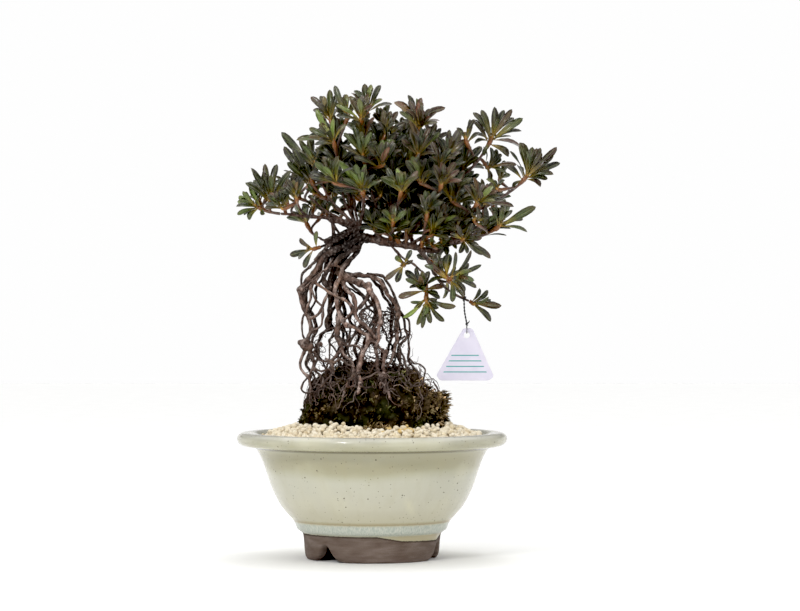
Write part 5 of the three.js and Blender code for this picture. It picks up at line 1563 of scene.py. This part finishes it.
def leaf_tints(tones, along, over, face, seed):
    """Blade colours: the tone of the leaf, gold at its base, bronze at edge and tip, pale beneath."""
    n = len(tones)
    k = np.arange(n)
    base = np.clip(1 - along / (0.36 + 0.34 * draw(k, seed + 21)[:, None]), 0, 1)
    stalk = np.clip(1 - along / 0.24, 0, 1)[None]
    rim = smooth(np.abs(over - 0.5), 0.3, 0.55)[None] * 0.25 + 0.3 * smooth(along, 0.7, 1)[None]
    rim = rim * draw(k, seed + 22)[:, None]
    depth = np.minimum(0.24 + 1.8 * draw(k, seed + 23) ** 1.7, 1.45)
    tint = tones[:, None] * (depth[:, None] * (1.15 - 0.35 * along))[..., None]
    tint = tint + (BRONZE - tint) * rim[..., None]
    tint = tint + (GOLD - tint) * (0.95 * base * (0.55 + 0.45 * draw(k, seed + 24))[:, None])[..., None]
    tint = tint + (STALK - tint) * (stalk * (0.4 + 0.6 * draw(k, seed + 25))[:, None])[..., None]
    return tint + (UNDER * 0.8 + tint * 0.35 - tint) * (0.75 * (face < 0))[None, :, None]


def whorl_mood(place, seed):
    """The weights of the leaf tones on one shoot: bronze high on the right, fresh green low in the
    middle, blue-green at the sides and behind, with the luck of the shoot on top."""
    x, y, z = place
    sunny = math.exp(-(((x - 54) / 46) ** 2 + ((z - 424) / 32) ** 2))
    fresh = math.exp(-(((x - 4) / 34) ** 2 + ((z - 378) / 34) ** 2)) * smooth(-y, -20, 10)
    outer = smooth(np.linalg.norm((place - CANOPY_HEART) * [0.7, 0.7, 1]), 60, 125)
    bronze = 0.1 + 2.3 * sunny * (0.3 + draw(3, seed)) + 0.35 * outer * draw(7, seed)
    bright = 0.06 + 0.55 * fresh * draw(6, seed) + 0.35 * draw(4, seed) ** 3
    return np.array([0.9, 0.8, 0.3 + 0.5 * fresh + 0.4 * draw(5, seed), bright, bronze, 0.7 * bronze])


def leaf_tones(count, mood, seed):
    """Each leaf takes mostly one tone of the shoot's mood."""
    k = np.arange(count)[:, None]
    pull = draw(k * 6 + np.arange(6), seed) ** 7 * mood + 0.01 * mood
    return mixed([GREEN_DARK, GREEN_GREY, GREEN_MID, GREEN_BRIGHT, BRONZE, PLUM], pull)


# %% [markdown]
# A whorl is built in tiers. The first leaves are the ones that give the silhouette. Then come upright
# young leaves in the middle, a lower tier that droops, and a bud with reddish scales at the centre.

# %% Dress a shoot's end
MOODS = {  # weights of the six leaf tones, on shoots whose colour stands out
    ("left_tip", 0): [0.05, 0.05, 0.7, 1.6, 0, 0],
    ("right_front", 0): [0.1, 0.3, 0.3, 0.1, 1.4, 0.3], ("inner_left", 0): [0.1, 0.1, 0.5, 1.6, 0, 0],
    ("left_tip", 2): [0.1, 0.1, 0.9, 0.9, 0, 0], ("right_inner", 0): [1.4, 1.0, 0.2, 0, 0.2, 0.3],
    ("front_right", 0): [0.2, 0.8, 0.2, 0, 1.0, 0.8], ("low", 0): [0.6, 0.3, 0.9, 0.8, 0.1, 0],
    ("front_left", 0): [0.4, 0.4, 0.9, 0.9, 0, 0], ("front_mid", 0): [0.5, 0.5, 0.7, 0.8, 0.1, 0],
    ("crown_mid", 0): [0.3, 0.6, 0.8, 0.7, 0.1, 0], ("right_mid", 0): [0.9, 0.6, 0.5, 0.6, 0, 0],
}


SPARSE = {  # shoots with few leaves: they get no young tier and no drooping one
    ("right", 1), ("right_mid", 0), ("right_tip", 1), ("right_tip", 2), ("right_mid", 1), ("far_right", 0),
    ("left_low", 0), ("low_side", 0), ("low_right_tip", 0), ("inner_left", 0)}


def shaped_leaves(whorl, axis, path, seed):
    """The leaves which the plain model has too: each springs from the last 7 mm of the shoot; those with
    a tip reach it, the rest fan out by rule."""
    y, length, count, tips = whorl[1], *whorl[3:]
    k = np.arange(count)
    down = (7 * draw(k, seed + 13) / np.linalg.norm(path[-1] - path[-2])).astype(int)
    roots = path[np.clip(len(path) - 1 - down, 2, None)]
    reach = max(length, 12) * (0.86 + 0.26 * draw(k, seed))
    ahead = fan_out(axis, k * 2.39996 + seed, np.radians(20 + 36 * draw(k, seed + 9)))
    broad = np.ones(count)
    for j, (tip_x, tip_z, *wider) in enumerate(tips[:count]):
        span = np.array([tip_x, y + (draw(j, seed + 5) - 0.6) * 14, tip_z]) - roots[j]
        reach[j] = np.linalg.norm(span)
        ahead[j] = span / reach[j]
        broad[j] = wider[0] if wider else 1
    return roots, ahead, reach, broad


def whorl_axis(bud, tips, twig):
    """Which way a whorl opens: up and outwards, or towards the middle of its known tips."""
    lift = 0.9 if bud[2] > 320 else 0.1  # those below the main limb hardly turn up
    axis = 0.35 * unit(twig[-1] - twig[-2]) + 0.5 * unit(bud - CANOPY_HEART) + UP * lift
    if len(tips) > 1:
        middle = np.mean([tip[:2] for tip in tips], axis=0) - bud[[0, 2]]
        axis[[0, 2]] = 0.3 * axis[[0, 2]] + middle / 18
    return unit(axis)


def facing(axis, bud, n, seed):
    """Where the upper faces look: along the shoot, but turned towards the open side and rolled."""
    open_side = np.array([0, -0.95 if bud[1] < 15 else 0.95, 0])
    roll = jitter(np.arange(n), seed + 61)
    return unit(axis + open_side + 0.7 * roll)


def crown_shade(place):
    """Painted shade: leaves deep in the crown are darker, from 0.17 in the middle to 1 outside, and those
    at the far ends of the branches are a third darker."""
    depth = np.linalg.norm((place - [20, 6, 372]) / [130, 66, 76])
    return float((0.17 + 0.83 * smooth(depth, 0.36, 0.9)) * (1 - 0.32 * smooth(abs(place[0] - 10), 60, 120)))


# %% [markdown]
# Each tier has its own opening, size, tone and light. The stem below is ringed at its old bud scars,
# and sleeved in rusty scales near its end.

# %% Tiers of leaves, the bud and the stem
def dress_shoot(heap, whorl, axis, path, seed, mood, sparse=False):
    """All the leaves and the bud of one shoot."""
    bud = np.array(whorl[:3], float)
    roots, ahead, reach, broad = shaped_leaves(whorl, axis, path, seed)
    length = max(whorl[3], 22) * 1.08
    shade = crown_shade(bud) * (0.7 + 0.6 * draw(0, seed + 77))
    tiers = [(roots + ahead * 0.7, ahead, reach, mood, 0.24 * broad, 0.75, 0, 1.0)]
    k = np.arange(3 + int(draw(1, seed) * 3))
    inner = fan_out(axis, k * 2.4 + 1.1 + seed, np.radians(6 + 22 * draw(k, seed + 31)))
    sizes = length * (0.6 + 0.36 * draw(k, seed + 32))
    fresh = mood * [0.7, 0.8, 1.3, 1.6, 1.1, 0.6]
    tiers.append((bud + inner * 0.9 + axis * 0.8, inner, sizes, fresh, 0.24, 0.8, 34, 1.15))
    k = np.arange(2 + int(draw(2, seed) * 3))
    down = fan_out(axis, k * 2.4 + 2.3 + seed, np.radians(44 + 30 * draw(k, seed + 41)))
    far = len(path) - 2 - (k * 1.7 + 3 * draw(k, seed + 43)).astype(int)
    sizes = length * (0.65 + 0.36 * draw(k, seed + 42))
    old = mood * [1.6, 1.4, 0.5, 0.2, 0.7, 1.0]
    # painted shade: the drooping tier under the whorl takes half the light
    tiers.append((path[np.clip(far, 2, None)] + down * 0.6, down, sizes, old, 0.26, 0.4, 45, 0.5))
    for roots, aim, sizes, tier_mood, wide, fold, step, light in tiers[:1 if sparse else 3]:
        tones = leaf_tones(len(aim), np.asarray(tier_mood), seed + 2 + step)
        leaf_blades(heap, roots, aim, facing(axis, bud, len(aim), seed + step), sizes, tones, seed + step,
                    wide, fold, shade * light)
    add_bud(heap, bud, axis, seed)


def add_bud(heap, bud, axis, seed, size=1.0):
    """A pointed bud with a few scales round it."""
    path = bud + axis * np.array([-1.2, 0, 1.4, 3.0, 4.2])[:, None] * size
    radii = np.array([[0.9, 1.5, 1.6, 1.0, 0.15]]) * size
    heap.add(*carried_rings(path[None], radii, 8), mixed([RUST, GOLD], [[0.75, 0.25]]), blade=0.0)
    if size < 1:
        return
    k = np.arange(3)
    scale = fan_out(axis, k * 2.1 + seed, np.radians(14 + 14 * draw(k, seed + 51)))
    tones = np.tile(mixed([RUST, BRONZE, GREEN_BRIGHT], [[0.5, 0.3, 0.3]]), (3, 1))
    leaf_blades(heap, bud + scale * 1.0, scale, np.broadcast_to(axis, scale.shape),
                (3.2 + 2.4 * draw(k, seed + 52)) * size, tones, seed + 53, 0.4, 0.3)


def add_stem(heap, path, r0, r1, seed):
    """A shoot: plum-brown, with rings at old bud scars, and a rusty sleeve of old scales at its end."""
    t = np.linspace(0, 1, len(path))
    away = np.linalg.norm(path - path[-1], axis=1)
    sleeve = smooth(away, 20, 3)
    girth = 1 + sleeve * (0.3 + 0.5 * smooth(away, 0, 3))
    rings = 0.2 * np.clip(np.sin(t * 17 + seed) - 0.8, 0, 1)
    radius = (r0 + (r1 - r0) * t) * girth * (1 + (0.1 + 0.2 * sleeve) * lumps(path, 3.0, 2, seed) + rings)
    young = np.concatenate([np.repeat(sleeve, 8), [0, 1]])[:, None]
    old, fresh = mixed([TWIG, PLUM, TWIG_GREY], [[0.6, 0.4, 0.4]]), mixed([RUST, STALK], [[0.8, 0.25]])
    # painted shade: stems deep in the crown are darker
    tone = (old + (fresh - old) * young) * 0.8 * (0.25 + 0.75 * crown_shade(path[-1]))
    heap.add(*carried_rings(path[None], radius[None], 8), tone, blade=0.0)


# %% [markdown]
# The crown is clipped every summer, so it is full of shorter shoots between the leading ones. We find
# room for them by trial: random spots in the crown are kept where no other shoot's end is near, and
# each kept spot is joined to the nearest stem below it. A second, closer round fills the dark heart of
# the crown. Some spots are listed one by one, where the view from the front needs a shoot or a gap.

# %% Shoots that fill the crown
CROWN = [  # the crown's bulk as balls: x, y, z and radius
    (-50, 4, 388, 42), (-22, 2, 420, 46), (18, 4, 416, 48), (52, 6, 402, 42), (2, 4, 372, 52),
    (44, 2, 366, 46), (-58, 0, 370, 25), (74, 4, 372, 30), (98, 4, 402, 24), (96, 4, 338, 26),
    (-92, -6, 360, 18), (132, 2, 380, 14), (22, 62, 384, 40), (-34, 52, 372, 36), (74, 52, 362, 36),
    (20, -42, 362, 26), (60, -36, 356, 24), (-26, -34, 372, 22), (14, -14, 346, 18), (40, -6, 344, 20),
    (66, -14, 340, 18), (88, -8, 332, 16), (30, 20, 348, 22), (-2, 4, 352, 14)]


CROWN_EDGE = np.array([  # the crown's outline from the front, x and z
    (-138, 346), (-120, 388), (-92, 394), (-84, 400), (-72, 422), (-58, 428), (-62, 462), (-38, 474),
    (-30, 462), (-18, 460), (-10, 474), (10, 475), (9, 458), (22, 455), (30, 463), (54, 462), (70, 452),
    (66, 434), (88, 431), (96, 416), (112, 412), (150, 418), (166, 412), (186, 394), (180, 380), (142, 372),
    (160, 350), (154, 330), (110, 318), (60, 300), (20, 318), (-8, 334), (-15, 364), (-54, 362), (-72, 342)])


CLEAR = [(-4, -44, 346), (28, -48, 344)]  # kept bare, so that two stems stand free in front
FRONT = [(46, -36, 376), (12, -38, 392), (66, -40, 388)]  # shoots which close the crown's front
BELOW = [  # shoots along the main limb, under the crown
    (2, -6, 328), (18, -9, 326), (34, -6, 327), (56, -10, 322), (68, 8, 319), (80, -5, 321), (64, -18, 331)]
STUBS = [  # short dark shoots on the main limb and between the stems on the left
    (24, -8, 320), (50, -9, 316), (59, -12, 314), (69, -11, 316), (-38, 8, 351), (-29, 12, 346),
    (-44, 4, 347), (-22, 16, 352), (-84, -8, 356), (-58, 4, 352), (-12, 12, 347), (-1, 14, 350),
    (-58, 8, 364), (-112, -8, 358)]


def inside_edge(x, z):
    """Whether points lie inside the outline: a ray to the right crosses it an odd number of times."""
    x0, z0 = CROWN_EDGE.T
    x1, z1 = np.roll(x0, -1), np.roll(z0, -1)
    spans = (z0 > z[:, None]) != (z1 > z[:, None])
    crossing = x0 + (x1 - x0) * (z[:, None] - z0) / np.where(z1 == z0, 1, z1 - z0)
    return np.sum(spans & (crossing > x[:, None]), axis=1) % 2 == 1


def crown_room(taken, count, apart=26.0):
    """Spots inside the crown's balls and outline, each some way from every other shoot's end."""
    k = np.arange(9000)
    balls = np.array(CROWN, float)
    pick = balls[(draw(k, 601) * len(balls)).astype(int)]
    away = unit(jitter(k, 602))
    spots = pick[:, :3] + away * (pick[:, 3] * draw(k, 605) ** 0.4)[:, None] * [1, 1.0, 1]
    for tip_x, tip_z in ((0, 29), (-18, 18), (18, 18), (-17, 2), (17, 2)):
        spots = spots[inside_edge(spots[:, 0] + tip_x, spots[:, 2] + tip_z)]
    kept = [np.asarray(p, float) for p in taken]
    found = []
    for spot in spots:
        if np.min(np.linalg.norm(np.array(kept) - spot, axis=1)) > apart:
            kept.append(spot)
            found.append(spot)
        if len(found) == count:
            break
    print("room for", len(found), "more shoots")
    return found


def nearest_stem(spot, stems):
    """The stem point which costs least to reach: near, and rather below the spot than above it."""
    best = None
    for row, path in stems:
        span = spot - path
        away = np.linalg.norm(span, axis=1)
        cost = away + 1.6 * np.clip(-span[:, 2] + 6, 0, None) + 40 * (away < 9)
        at = int(np.argmin(cost))
        if best is None or cost[at] < best[0]:
            best = (cost[at], row, path, at)
    return best[1:]


# %% [markdown]
# First come the shoots of the table, and then those that there was room for, each from its nearest
# stem. Every spray becomes one piece.

# %% Grow the sprays
def make_sprays(material):
    """Grows the named shoots, finds room for the others, and makes one piece of each spray."""
    heaps, stems, ends = [], [], []
    for row, (name, whorls) in enumerate(SPRAYS.items()):
        (_, r_end), control = LIMBS[name]
        line = smooth_path(control, 200)
        tip, along = line[-1], unit(line[-1] - line[-2])
        heap = Heap()
        leader = None
        for k, whorl in enumerate(whorls):
            target = np.array(whorl[:3], float)
            if k == 0:
                path = leader = shoot_path(tip + along * 0.3, along, target)
            else:
                at = int(round(SHOOT_FORKS[k] * (len(leader) - 1)))
                path = shoot_path(leader[at], unit(leader[at + 1] - leader[at - 1]), target)
            axis = whorl_axis(target, whorl[5], path)
            seed = row * 4 + k + 1
            mood = np.array(MOODS.get((name, k), whorl_mood(target, seed)), float)
            add_stem(heap, path, r_end if k == 0 else 1.3, 1.2, seed)
            dress_shoot(heap, whorl, axis, path, seed, mood, (name, k) in SPARSE)
            stems.append((row, path[4:-6]))
            ends.append(target)
        stems.append((row, line[60:]))
        heaps.append(heap)
    room = FRONT + crown_room(ends + CLEAR + FRONT, 58)
    room += [spot for spot in crown_room(ends + CLEAR + room, 60, 17.0) if crown_shade(spot) < 0.4]
    for k, spot in enumerate(np.array(room + BELOW + STUBS, float)):
        row, path, at = nearest_stem(spot, stems)
        at = min(max(at, 1), len(path) - 2)
        twig = shoot_path(path[at], unit(unit(path[at + 1] - path[at - 1]) + unit(spot - path[at])), spot, 30)
        axis = whorl_axis(spot, [], twig)
        seed = 700 + 5 * k
        add_stem(heaps[row], twig, 1.25, 1.1, seed)
        small = k >= len(room + BELOW)
        whorl = (*spot, 12 if small else 25 + 7 * draw(k, 651), 5 if small else 6 + int(3 * draw(k, 652)), [])
        dress_shoot(heaps[row], whorl, axis, twig, seed, whorl_mood(spot, seed), small)
    leaves = 0
    for heap, name in zip(heaps, SPRAYS):
        leaves += sum(len(part) for part in heap.quads)
        dress(heap.piece("leaves_" + name), "foliage", material, "spray_" + name)
    print("all sprays:", leaves, "quads")


# %% [markdown]
# A leaf's surface is waxy over fine hairs, so it shines a soft bluish grey where it faces the light.
# Its midrib and side veins are drawn from the blade's own map: across it from 0 to 1, and along it
# from stalk to tip. Stems and buds share the material with their vein mask at nought.

# %% Azalea leaf
def azalea_leaf():
    material, shader, mm, node = new_material(
        "azalea leaf", IOR=1.45, Specular_IOR_Level=0.36, Subsurface_Weight=0.03,
        Coat_Weight=0.55, Coat_Roughness=0.2)
    shader.inputs["Subsurface Radius"].default_value = (0.6 * MM, 1.0 * MM, 0.3 * MM)
    uv = node("TexCoord", out="UV")
    over = node("SeparateXYZ", {0: uv}, out="X")
    along = node("SeparateXYZ", {0: uv}, out="Y")
    blade = node("Attribute", out="Fac", attribute_name="blade")
    upper = node("MapRange", {0: blade, 1: 0.2, 2: 0.45})
    # the midrib is a pale groove; side veins leave it at a slant, about ten to a leaf;
    # a thin pale rim on the upper face is a painted highlight
    from_rib = node("Math", {0: node("Math", {0: over, 1: 0.5}, operation="SUBTRACT")}, operation="ABSOLUTE")
    rib = node("MapRange", {0: from_rib, 1: 0.07, 2: 0.02, 4: upper})
    slant = node("Math", {0: along, 1: 46.0, 2: node("Math", {0: from_rib, 1: -30.0}, operation="MULTIPLY")},
                 operation="MULTIPLY_ADD")
    vein = node("MapRange", {0: node("Math", {0: slant}, operation="SINE"), 1: 0.84, 2: 0.99, 4: upper})
    rim_highlight = node("MapRange", {0: from_rib, 1: 0.43, 2: 0.5, 4: 0.8})
    tone = node("Attribute", out="Color", attribute_name="tint")
    mottle = node("TexNoise", {"Vector": mm, "Scale": 0.45, "Detail": 4})
    for factor, colour in (
            (node("MapRange", {0: mottle, 1: 0.52, 2: 0.74, 4: 0.4}), "#26241b"),
            (node("MapRange", {0: mottle, 1: 0.46, 2: 0.28, 4: 0.3}), "#7b8a5c"),
            (node("Math", {0: rim_highlight, 1: upper}, operation="MULTIPLY"), "#a9ac96"),
            (node("Math", {0: rib, 1: 0.4}, operation="MULTIPLY"), "#8f9560"),
            (node("Math", {0: vein, 1: 0.16}, operation="MULTIPLY"), "#8b9060")):
        tone = node("Mix", {0: factor, 6: tone, 7: colour}, **BLEND)
    feed(shader, Base_Color=tone)
    wax = node("TexNoise", {"Vector": mm, "Scale": 0.6, "Detail": 3})
    feed(shader, Roughness=node("MapRange", {0: wax, 1: 0.3, 2: 0.7, 3: 0.25, 4: 0.42}))
    quilt = node("TexNoise", {"Vector": mm, "Scale": 1.6, "Detail": 3})
    height = node("Math", {0: rib, 1: -2.0, 2: quilt}, operation="MULTIPLY_ADD")
    height = node("Math", {0: vein, 1: -1.0, 2: height}, operation="MULTIPLY_ADD")
    feed(shader, Normal=node("Bump", {"Height": height, "Distance": 0.11 * MM, "Strength": 0.85}))
    return material


make_sprays(azalea_leaf())

# %% [markdown]
# ## The label
#
# A grower's label hangs from the low right branch: a die-cut triangle of white polypropylene, a
# millimetre thick, with a punched hole and slightly rounded edges. Ours carries four ruled lines for
# writing on. The section of the sheet, a flat bar with tiny bevels, is carried from the hole outwards.

# %% A ruled plastic label
LABEL_CORNERS = [(91, 230), (100, 230), (121.5, 182), (116.5, 178), (68, 178), (64, 183)]
LABEL_HOLE, LABEL_HOLE_R = np.array([94.5, 223]), 3.0
TIE = np.array([91.78, -13.29, 259.57])
TWIG_AHEAD = unit([17.39, -2.35, -8.57])


def rounded(corners, cut=2.5, steps=7):
    """The outline with each corner replaced by a quadratic curve that starts cut mm before it."""
    corners = np.array(corners, float)
    parts = []
    for k, here in enumerate(corners):
        before = (corners[k - 1] + here) / 2
        after = (corners[(k + 1) % len(corners)] + here) / 2
        into = here + unit(before - here) * min(cut, np.linalg.norm(before - here))
        out = here + unit(after - here) * min(cut, np.linalg.norm(after - here))
        t = np.linspace(0, 1, steps)[:, None]
        parts.append(into * (1 - t) ** 2 + here * 2 * t * (1 - t) + out * t**2)
    return np.vstack(parts + [parts[0][:1]])


def make_label():
    """The sheet's section set out on spokes, from the hole's edge to the rounded outline and back."""
    outline = rounded(LABEL_CORNERS)
    run = np.concatenate([[0], np.cumsum(np.linalg.norm(np.diff(outline, axis=0), axis=1))])
    even = np.unique(np.concatenate([np.linspace(0, run[-1], 121), run]))[:-1]
    edge = np.stack([np.interp(even, run, outline[:, j]) for j in range(2)], axis=1)
    spoke = unit(edge - LABEL_HOLE)
    hole = LABEL_HOLE + spoke * LABEL_HOLE_R
    half, bevel = 0.5, 0.14
    inset = [(0, -half + bevel), (0, half - bevel), (bevel, half), (1.2, half)]
    inset += [(-1.2, half), (-bevel, half), (0, half - bevel), (0, -half + bevel), (-bevel, -half)]
    inset += [(-1.2, -half), (1.2, -half), (bevel, -half)]
    rows = []
    for j, (step, y) in enumerate(inset):
        flat = hole + spoke * step if j < 4 or j > 9 else edge + spoke * step
        rows.append(np.column_stack([flat[:, 0], np.full(len(flat), TIE[1] - y), flat[:, 1]]))
    points = np.vstack(rows)
    n, m = len(edge), len(inset)
    j, k = np.meshgrid(np.arange(m), np.arange(n), indexing="ij")
    nj, nk = (j + 1) % m, (k + 1) % n
    quads = np.stack([j * n + k, j * n + nk, nj * n + nk, nj * n + k], axis=-1).reshape(-1, 4)
    uv = np.stack([points[:, 0] / 100, points[:, 2] / 100 - 1], axis=1)
    return make_piece("hang_label", placed(points), quads, uv=uv, smooth_shaded=False)


# %% [markdown]
# The sheet is milky and lets a little light through. Its four lines are printed in blue-green ink,
# level with the lower edge, and stop short of the slanted sides.

# %% White polypropylene
def white_polypropylene():
    material, shader, mm, node = new_material("white polypropylene", 0.34, IOR=1.49, Subsurface_Weight=0.2)
    shader.inputs["Subsurface Radius"].default_value = (2 * MM, 2 * MM, 2.4 * MM)
    across = node("SeparateXYZ", {0: mm}, out="X")
    level = node("SeparateXYZ", {0: mm}, out="Z")
    # four ruled lines 5.5 mm apart and 1 mm thick, which stop 6 mm short of the slanted sides
    above = node("Math", {0: level, 1: 186.5}, operation="SUBTRACT")
    row = node("Math", {0: above, 1: 2.75}, operation="PINGPONG")
    line = node("MapRange", {0: row, 1: 0.58, 2: 0.46})
    aside = node("Math", {0: across, 1: 92.75}, operation="SUBTRACT")
    from_middle = node("Math", {0: aside}, operation="ABSOLUTE")
    room = node("MapRange", {0: level, 1: 182, 2: 205, 3: 23.5, 4: 12.7})
    inside = node("Math", {0: from_middle, 1: room}, operation="LESS_THAN")
    written = node("ValToRGB", {0: node("MapRange", {0: level, 1: 180, 2: 210})},
                   stops=[(0.14, 0.0), (0.15, 1.0), (0.83, 1.0), (0.84, 0.0)])
    line = node("Math", {0: line, 1: inside}, operation="MULTIPLY")
    line = node("Math", {0: line, 1: written}, operation="MULTIPLY")
    cloud = node("TexNoise", {"Vector": mm, "Scale": 0.1})
    sheet = node("ValToRGB", {0: cloud}, stops=[(0.3, "#d6d2e2"), (0.7, "#dedae8")])
    tone = node("Mix", {0: line, 6: sheet, 7: "#3f9f9c"}, **BLEND)
    feed(shader, Base_Color=tone)
    pressed = node("TexNoise", {"Vector": mm, "Scale": 0.9})
    feed(shader, Normal=node("Bump", {"Height": pressed, "Distance": 0.03 * MM, "Strength": 0.4}))
    return material


dress(make_label(), "label_plastic", white_polypropylene(), "label")

# %% [markdown]
# The tie is a garden wire in black plastic. It goes round the twig, comes down as two strands twisted
# together, and passes through the hole. A small knot of turns sits just over the label.

# %% The tie
def ring_path(centre, normal, radius, stations=40):
    """A circle of points round a normal."""
    first, second = across_axis(np.asarray(normal, float))
    angle = np.linspace(0, 2 * math.pi, stations)[:, None]
    return centre + radius * (first * np.cos(angle) + second * np.sin(angle))


def make_tie():
    """Round tubes along rings, along two strands that circle the drop, and along a small coil."""
    heap = Heap()
    tag_loop = np.array([LABEL_HOLE[0], TIE[1], LABEL_HOLE[1] + LABEL_HOLE_R - 0.9 + 4.6])
    top = TIE - [0, 0, 2.3]
    low = tag_loop + [0, 0, 4.6]
    drop = smooth_path([top, (TIE[0] + 0.4, TIE[1], TIE[2] - 12), low], 60)
    turn = np.linspace(0, 22, 60)[:, None]
    wires = [ring_path(TIE, TWIG_AHEAD, 2.3), ring_path(TIE + TWIG_AHEAD * 1.0, TWIG_AHEAD, 2.35)]
    wires.append(ring_path(tag_loop, (1, 0, 0), 4.6))
    for phase in (0, math.pi):
        wires.append(drop + 0.42 * np.hstack([np.cos(turn + phase), np.sin(turn + phase), turn * 0]))
    coil = np.linspace(0, 4 * math.pi, 60)[:, None]
    wires.append(low + np.hstack([1.0 * np.cos(coil), 1.0 * np.sin(coil), 1.4 - coil * 0.22]))
    wires.append(smooth_path([low + [0.6, 0, 0.4], low + [1.8, 0.3, 1.4], low + [2.6, 0.2, 3.2]], 12))
    for wire in wires:
        heap.add(*carried_rings(wire[None], np.full((1, len(wire)), 0.44), 8), linear("#17171a"))
    return heap.piece("wire_tie")


dress(make_tie(), "black_plastic", net_plastic, "label_wire")
